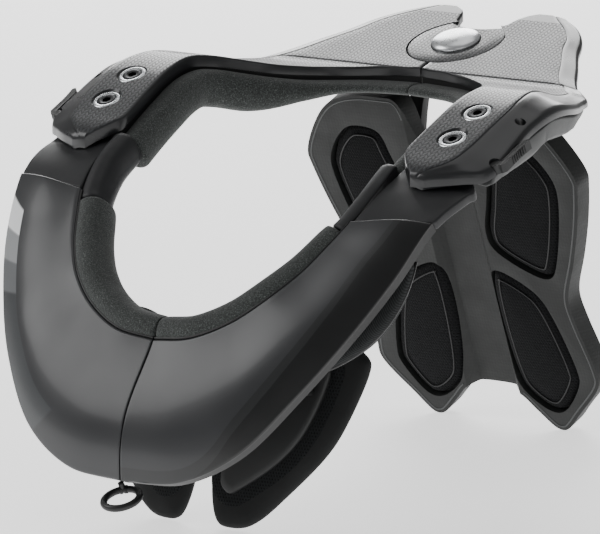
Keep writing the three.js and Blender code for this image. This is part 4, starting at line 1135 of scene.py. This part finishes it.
def hub_fork():
    """Post through both hinge leaves, with the two legs that carry the wings of the back plate."""
    low = -CAP_THICKNESS - 3 * GAP - 2 * LEAF_THICKNESS
    foot = low - 4
    flange = POST_RADIUS * 1.7
    top = -CAP_THICKNESS - GAP
    profile = [(AXIS, foot), (flange - 0.5, foot), (flange, foot + 0.5), (flange, low), (POST_RADIUS, low),
               (POST_RADIUS, top), (AXIS, top)]
    post = lathe("post", profile, HUB_PLACE, 48)
    head = PLATE_PLACE.inverted() @ HUB_PLACE @ Vector((0, 0, low - 2))
    rise = PLATE_HEIGHT - 8
    back = PLATE_THICKNESS + GAP + 3.5
    corners = ((-1, -1), (1, -1), (1, 1), (-1, 1))
    stations = [in_place(PLATE_PLACE, [(x + i * wide, depth + j * thick, up) for i, j in corners])
                for x, depth, up, wide, thick in (
                    (3, head.y, head.z, 5, 3), (15, head.y - 1, head.z - 2, 6, 3),
                    (24, head.y - 4, head.z - 9, 5, 3.5), (27, back + 3, rise * 0.86, 4.5, 3.5),
                    (29, back, rise * 0.72, 4.5, 3.5), (29, back, rise * 0.66, 4, 3.5))]
    legs = [soften(tube("leg", dense(stations, 24), side=side), 1.2, angle=45) for side in (1, -1)]
    fork = smooth(joined("hub_fork", post, *legs), 40)
    return settle(fork, "core", hinge_plastic, "hinge_plastic", "hub_post")


# Back plate and its pads.

def prism(name, flat, near, far, placement, side=1):
    rings = [in_place(placement, [(x, y, z) for x, z in flat]) for y in (near, far)]
    return tube(name, rings, side=side)


PIPING_INSET = 2.4
PIPING_RADIUS = 0.5
SEAM_INSET = 5.2
SEAM_RADIUS = 0.42
# Sections of the padded pieces: in from the outline and back from the face, in millimetres.
INSET_PROFILE = [(60, -0.9), (22, -0.8), (14, -0.6), (8, -0.2), (4.2, 0.6), (2, 1.6), (0.8, 2.7), (0.1, 4.0),
                 (0.0, 5.0), (0.6, POCKET_DEPTH - GAP), (60, POCKET_DEPTH - GAP)]
CUSHION_PROFILE = [(60, 0.5), (24, 0.5), (12, 0.5), (6.5, 0.6), (4.5, 1.2), (2.4, 1.9), (0.9, 3.0),
                   (0.1, 4.6), (0.0, 5.8), (0.5, 7.4), (1.6, 8.6), (3.4, 9.5), (8, 10.0), (24, 10.2),
                   (60, 10.2)]
MESH_PROFILE = [(60, 0.0), (20, 0.0), (2.5, 0.02), (1.0, 0.15), (0.0, 0.5), (0.0, 1.4), (60, 1.4)]


def back_plate():
    right = np.array([(o * PLATE_HALF_WIDTH, u * PLATE_HEIGHT) for o, u in PLATE_OUTLINE])
    whole = np.vstack([right, right[1:-1][::-1] * (-1, 1)])
    flat = np.array([spline(whole, i / 240, closed=True) for i in range(240)])
    flat[:, 1] = np.clip(flat[:, 1], 0, PLATE_HEIGHT)
    plate = prism("back_shell", flat, 0, PLATE_THICKNESS, PLATE_PLACE)
    tools = []
    for table in (UPPER_PAD_OUTLINE, LOWER_PAD_OUTLINE):
        for side in (1, -1):
            pocket = outline(table, PLATE_HALF_WIDTH, PLATE_HEIGHT, 90, side)
            tools.append(prism("cutter", pocket, -3, POCKET_DEPTH, PLATE_PLACE))
    mouth = SPINE_HALF_WIDTH * 1.5
    channel = [(-mouth, -3), (mouth, -3), (mouth, 0), (SPINE_HALF_WIDTH, SPINE_RECESS),
               (-SPINE_HALF_WIDTH, SPINE_RECESS), (-mouth, 0)]
    tools.append(tube("cutter", [in_place(PLATE_PLACE, [(x, y, z) for x, y in channel])
                                 for z in (-20, PLATE_HEIGHT + 20)]))
    carve(plate, *tools)
    soften(plate, 1.5, 4, 30)
    smooth(plate, 40)
    settle(plate, "core", plate_plastic, "matte_shell", "back_plate")
    border = inset_outline(flat, PIPING_INSET)
    path = in_place(PLATE_PLACE, [(x, 0.15, z) for x, z in border])
    beads = []
    for side in (1, -1):
        part = [p for p, (x, z) in zip(path, border) if x * side > SPINE_HALF_WIDTH * 1.55]
        beads.append(smooth(wire("edge_bead", part, PIPING_RADIUS), 60))
    settle(joined("back_piping", *beads), "core", edge_trim, "matte_shell")
    for level, table in (("upper", UPPER_PAD_OUTLINE), ("lower", LOWER_PAD_OUTLINE)):
        for side_name, side in SIDES:
            shape = inset_outline(outline(table, PLATE_HALF_WIDTH, PLATE_HEIGHT, 90), 0.9)
            pad = pillow(f"back_inset_{level}_{side_name}", shape, INSET_PROFILE, PLATE_PLACE, side)
            smooth(pad, 60)
            settle(pad, "core", inset_cloth, "inset_foam", f"back_pad_{level}_{side_name}")
            line = inset_outline(shape, SEAM_INSET)
            loop = in_place(PLATE_PLACE, [(x, 0.35, z) for x, z in line])
            bead = wire(f"back_inset_seam_{level}_{side_name}", loop, SEAM_RADIUS, closed=True, side=side)
            settle(smooth(bead, 60), "core", trim_rubber, "inset_foam")


# Chest pads and pull ring.

CHEST_ARM_ROW = 2.75
CHEST_ARM_SAG = 5
CHEST_ARM_HALF_WIDTH = 12
CHEST_ARM_HALF_DEPTH = 4


def chest(side_name, side):
    flat = outline(CHEST_PAD_OUTLINE, PAD_REACH, PAD_HEIGHT, 120)
    flat[:, 1] = np.maximum(flat[:, 1], 0)
    pad = smooth(pillow(f"chest_cushion_{side_name}", flat, CUSHION_PROFILE, PAD_PLACE, side), 60)
    settle(pad, f"{side_name}_half", chest_foam, "foam_skin", f"chest_pad_{side_name}")
    shape = outline(CHEST_PLATE_OUTLINE, PAD_REACH, PAD_HEIGHT, 110)
    back = CHEST_PLATE_THICKNESS + GAP
    layers = [(60, -back - 0.6), (20, -back - 0.5), (8, -back - 0.3), (3, -back), (1.2, -back + 0.3),
              (0.3, -back + 0.9), (0.0, -back + 1.7), (0.0, -GAP), (60, -GAP)]
    plate = pillow(f"chest_shell_{side_name}", shape, layers, PAD_PLACE, side)
    seat = in_place(PAD_PLACE, [(PAD_REACH * 0.58, -GAP - 1, PAD_HEIGHT * 0.72)])[0]
    hang = bib_point(CHEST_ARM_ROW, 0.5, SKIN + GAP + FRAME_DEPTH)
    sag = mix(seat, hang, 0.5) - np.array((0, 0, CHEST_ARM_SAG))
    section = ((-1, 1), (0, 1), (1, 1), (1, -1), (0, -1), (-1, -1))
    stations = []
    for t, point in ((0, seat), (0.5, sag), (1, hang)):
        wide = CHEST_ARM_HALF_WIDTH * mix(1, 0.8, t)
        lift = CHEST_ARM_HALF_DEPTH * mix(1, 1.4, t)
        stations.append([point + np.array((k * wide, 0, s * lift)) for k, s in section])
    arm = soften(tube("arm", dense(stations, 24), side=side), 1.6, angle=45)
    shell = smooth(joined(f"chest_shell_{side_name}", plate, arm), 40)
    settle(shell, f"{side_name}_half", frame_plastic, "frame_plastic", f"chest_plate_{side_name}")
    border = inset_outline(shape, -MESH_BAND)
    mesh_band = smooth(pillow(f"chest_mesh_{side_name}", border, MESH_PROFILE, PAD_PLACE, side), 50)
    settle(mesh_band, f"{side_name}_half", chest_mesh, "foam_skin")


def pull_ring():
    turns = np.linspace(0, 2 * math.pi, 72, endpoint=False)
    loop = in_place(RING_PLACE, [(RING_RADIUS * math.cos(a), RING_RADIUS * math.sin(a), 0) for a in turns])
    ring = wire("pull_loop", loop, RING_WIRE, closed=True, sides=18)
    start = in_place(RING_PLACE, [(-RING_RADIUS * 0.5, RING_RADIUS * 0.866, 0)])[0]
    foot = bib_point(0, 1, LIP_DEPTH)
    end = np.array((start[0], foot[1] + 0.4, foot[2] - GAP))
    stem = wire("stem", [mix(start, end, t) for t in np.linspace(0, 1, 12)], RING_WIRE * 0.85, sides=16)
    crimps = []
    for angle in (math.radians(112), math.radians(128)):
        spot = in_place(RING_PLACE, [(RING_RADIUS * math.cos(angle + d), RING_RADIUS * math.sin(angle + d), 0)
                                     for d in np.linspace(-0.08, 0.08, 5)])
        crimps.append(wire("crimp", spot, RING_WIRE * 1.22, sides=16))
    whole = smooth(joined("pull_loop", ring, stem, *crimps), 50)
    settle(whole, "left_half", loop_rubber, "loop_rubber", "pull_ring")


def latch_tongue():
    """Plate behind the front seam, so that no light shows between the halves."""
    tops, unders = [], []
    for x in np.linspace(-TONGUE_HALF_WIDTH, TONGUE_HALF_WIDTH, 13):
        row = abs(x) / SEAM_ROW_LENGTH
        sign = np.array((1.0 if x >= 0 else -1.0, 1, 1))
        shares = np.linspace(0.12, 0.9, 16)
        tops.append(np.array([bib_point(row, s, UNDER_FRAME + GAP) * sign for s in shares]))
        under = UNDER_FRAME + GAP + TONGUE_THICKNESS
        unders.append(np.array([bib_point(row, s, under) * sign for s in shares]))
    tongue = smooth(soften(tube("seam_tongue", sheet_rings(tops, unders)), 0.5), 40)
    settle(tongue, "left_half", frame_plastic, "frame_plastic")


# All pieces, then the materials of the CAD pieces that stay.

for half_name, sign in SIDES:
    for make in (front_shell, bib_piping, shoulder_pad, side_link, chassis, arm_shell, neck_lining, deck_web):
        make(half_name, sign)
    for bolt_name, bolt_place in BOLT_PLACES.items():
        bolt(bolt_name, bolt_place, half_name, sign)
    lever(half_name, sign)
    chest(half_name, sign)
hub()
hub_fork()
back_plate()
pull_ring()
latch_tongue()

for side_name, _ in SIDES:
    for part, material in (("front_frame", frame_plastic), ("hinge_leaf", hinge_plastic)):
        node = frame["nodes"][f"{part}_{side_name}"]
        node.data.materials.clear()
        node.data.materials.append(material)

# Floor, light and camera.

# Lights: name, place and target in metres, size and power.
LIGHTS = (
    ("key", (-1.3, -0.9, 1.2), (0, 0, 0.12), 1.1, 13),
    ("fill", (1.5, -1.2, 0.7), (0, 0, 0.1), 1.0, 2),
    ("top", (0.0, 0.4, 1.8), (0, 0, 0.1), 1.3, 4),
    ("backdrop", (-1.25, 1.7, 1.15), (0, 0, 0.2), 1.3, 34),
)
# Camera fitted to the photo: turn to the side, height and roll in degrees, aim in millimetres from the
# hub, distance in metres and lens in millimetres.
VIEW_AZIMUTH = 36.74
VIEW_ELEVATION = 11.88
VIEW_ROLL = 1.39
VIEW_AIM = (0, -147.48, 121.67)
VIEW_DISTANCE = 3.7669
VIEW_LENS = 423.7


def stage():
    bpy.ops.mesh.primitive_plane_add(size=6, location=(0, 0, 0))
    floor = bpy.context.active_object
    floor.name = "studio_floor"
    n = Nodes("studio_floor_paint", "f4f4f4", 0.75, Emission_Strength=1.15)
    n.shader.inputs["Emission Color"].default_value = linear("ffffff")
    n.join(mottle(n, "f4f4f4", 0.985, 1.0, 400), "Base Color")
    floor.data.materials.append(n.material)
    world = bpy.data.worlds.new("studio")
    bpy.context.scene.world = world
    world.use_nodes = True
    world.node_tree.nodes["Background"].inputs[0].default_value = (1, 1, 1, 1)
    world.node_tree.nodes["Background"].inputs[1].default_value = 0.25
    for name, spot, target, size, power in LIGHTS:
        light = bpy.data.lights.new(name, "AREA")
        light.energy = power
        light.size = size
        obj = bpy.data.objects.new(name, light)
        obj.location = spot
        obj.rotation_euler = (Vector(target) - Vector(spot)).to_track_quat("-Z", "Y").to_euler()
        bpy.context.scene.collection.objects.link(obj)


def camera():
    azimuth, elevation, roll = (math.radians(a) for a in (VIEW_AZIMUTH, VIEW_ELEVATION, VIEW_ROLL))
    target = Vector(place(VIEW_AIM))
    ahead = Vector((math.sin(azimuth), -math.cos(azimuth), 0))
    back = ahead * math.cos(elevation) + Vector((0, 0, math.sin(elevation)))
    level = Vector((math.cos(azimuth), math.sin(azimuth), 0))
    down = -back.cross(level)
    right = level * math.cos(roll) + down * math.sin(roll)
    up = -(down * math.cos(roll) - level * math.sin(roll))
    data = bpy.data.cameras.new("camera")
    data.sensor_width = 36
    data.lens = VIEW_LENS
    data.clip_start = 0.1
    data.clip_end = 30
    obj = bpy.data.objects.new("camera", data)
    basis = Matrix((right, up, back)).transposed().to_4x4()
    obj.matrix_world = Matrix.Translation(target + back * VIEW_DISTANCE) @ basis
    bpy.context.scene.collection.objects.link(obj)
    bpy.context.scene.camera = obj


stage()
camera()
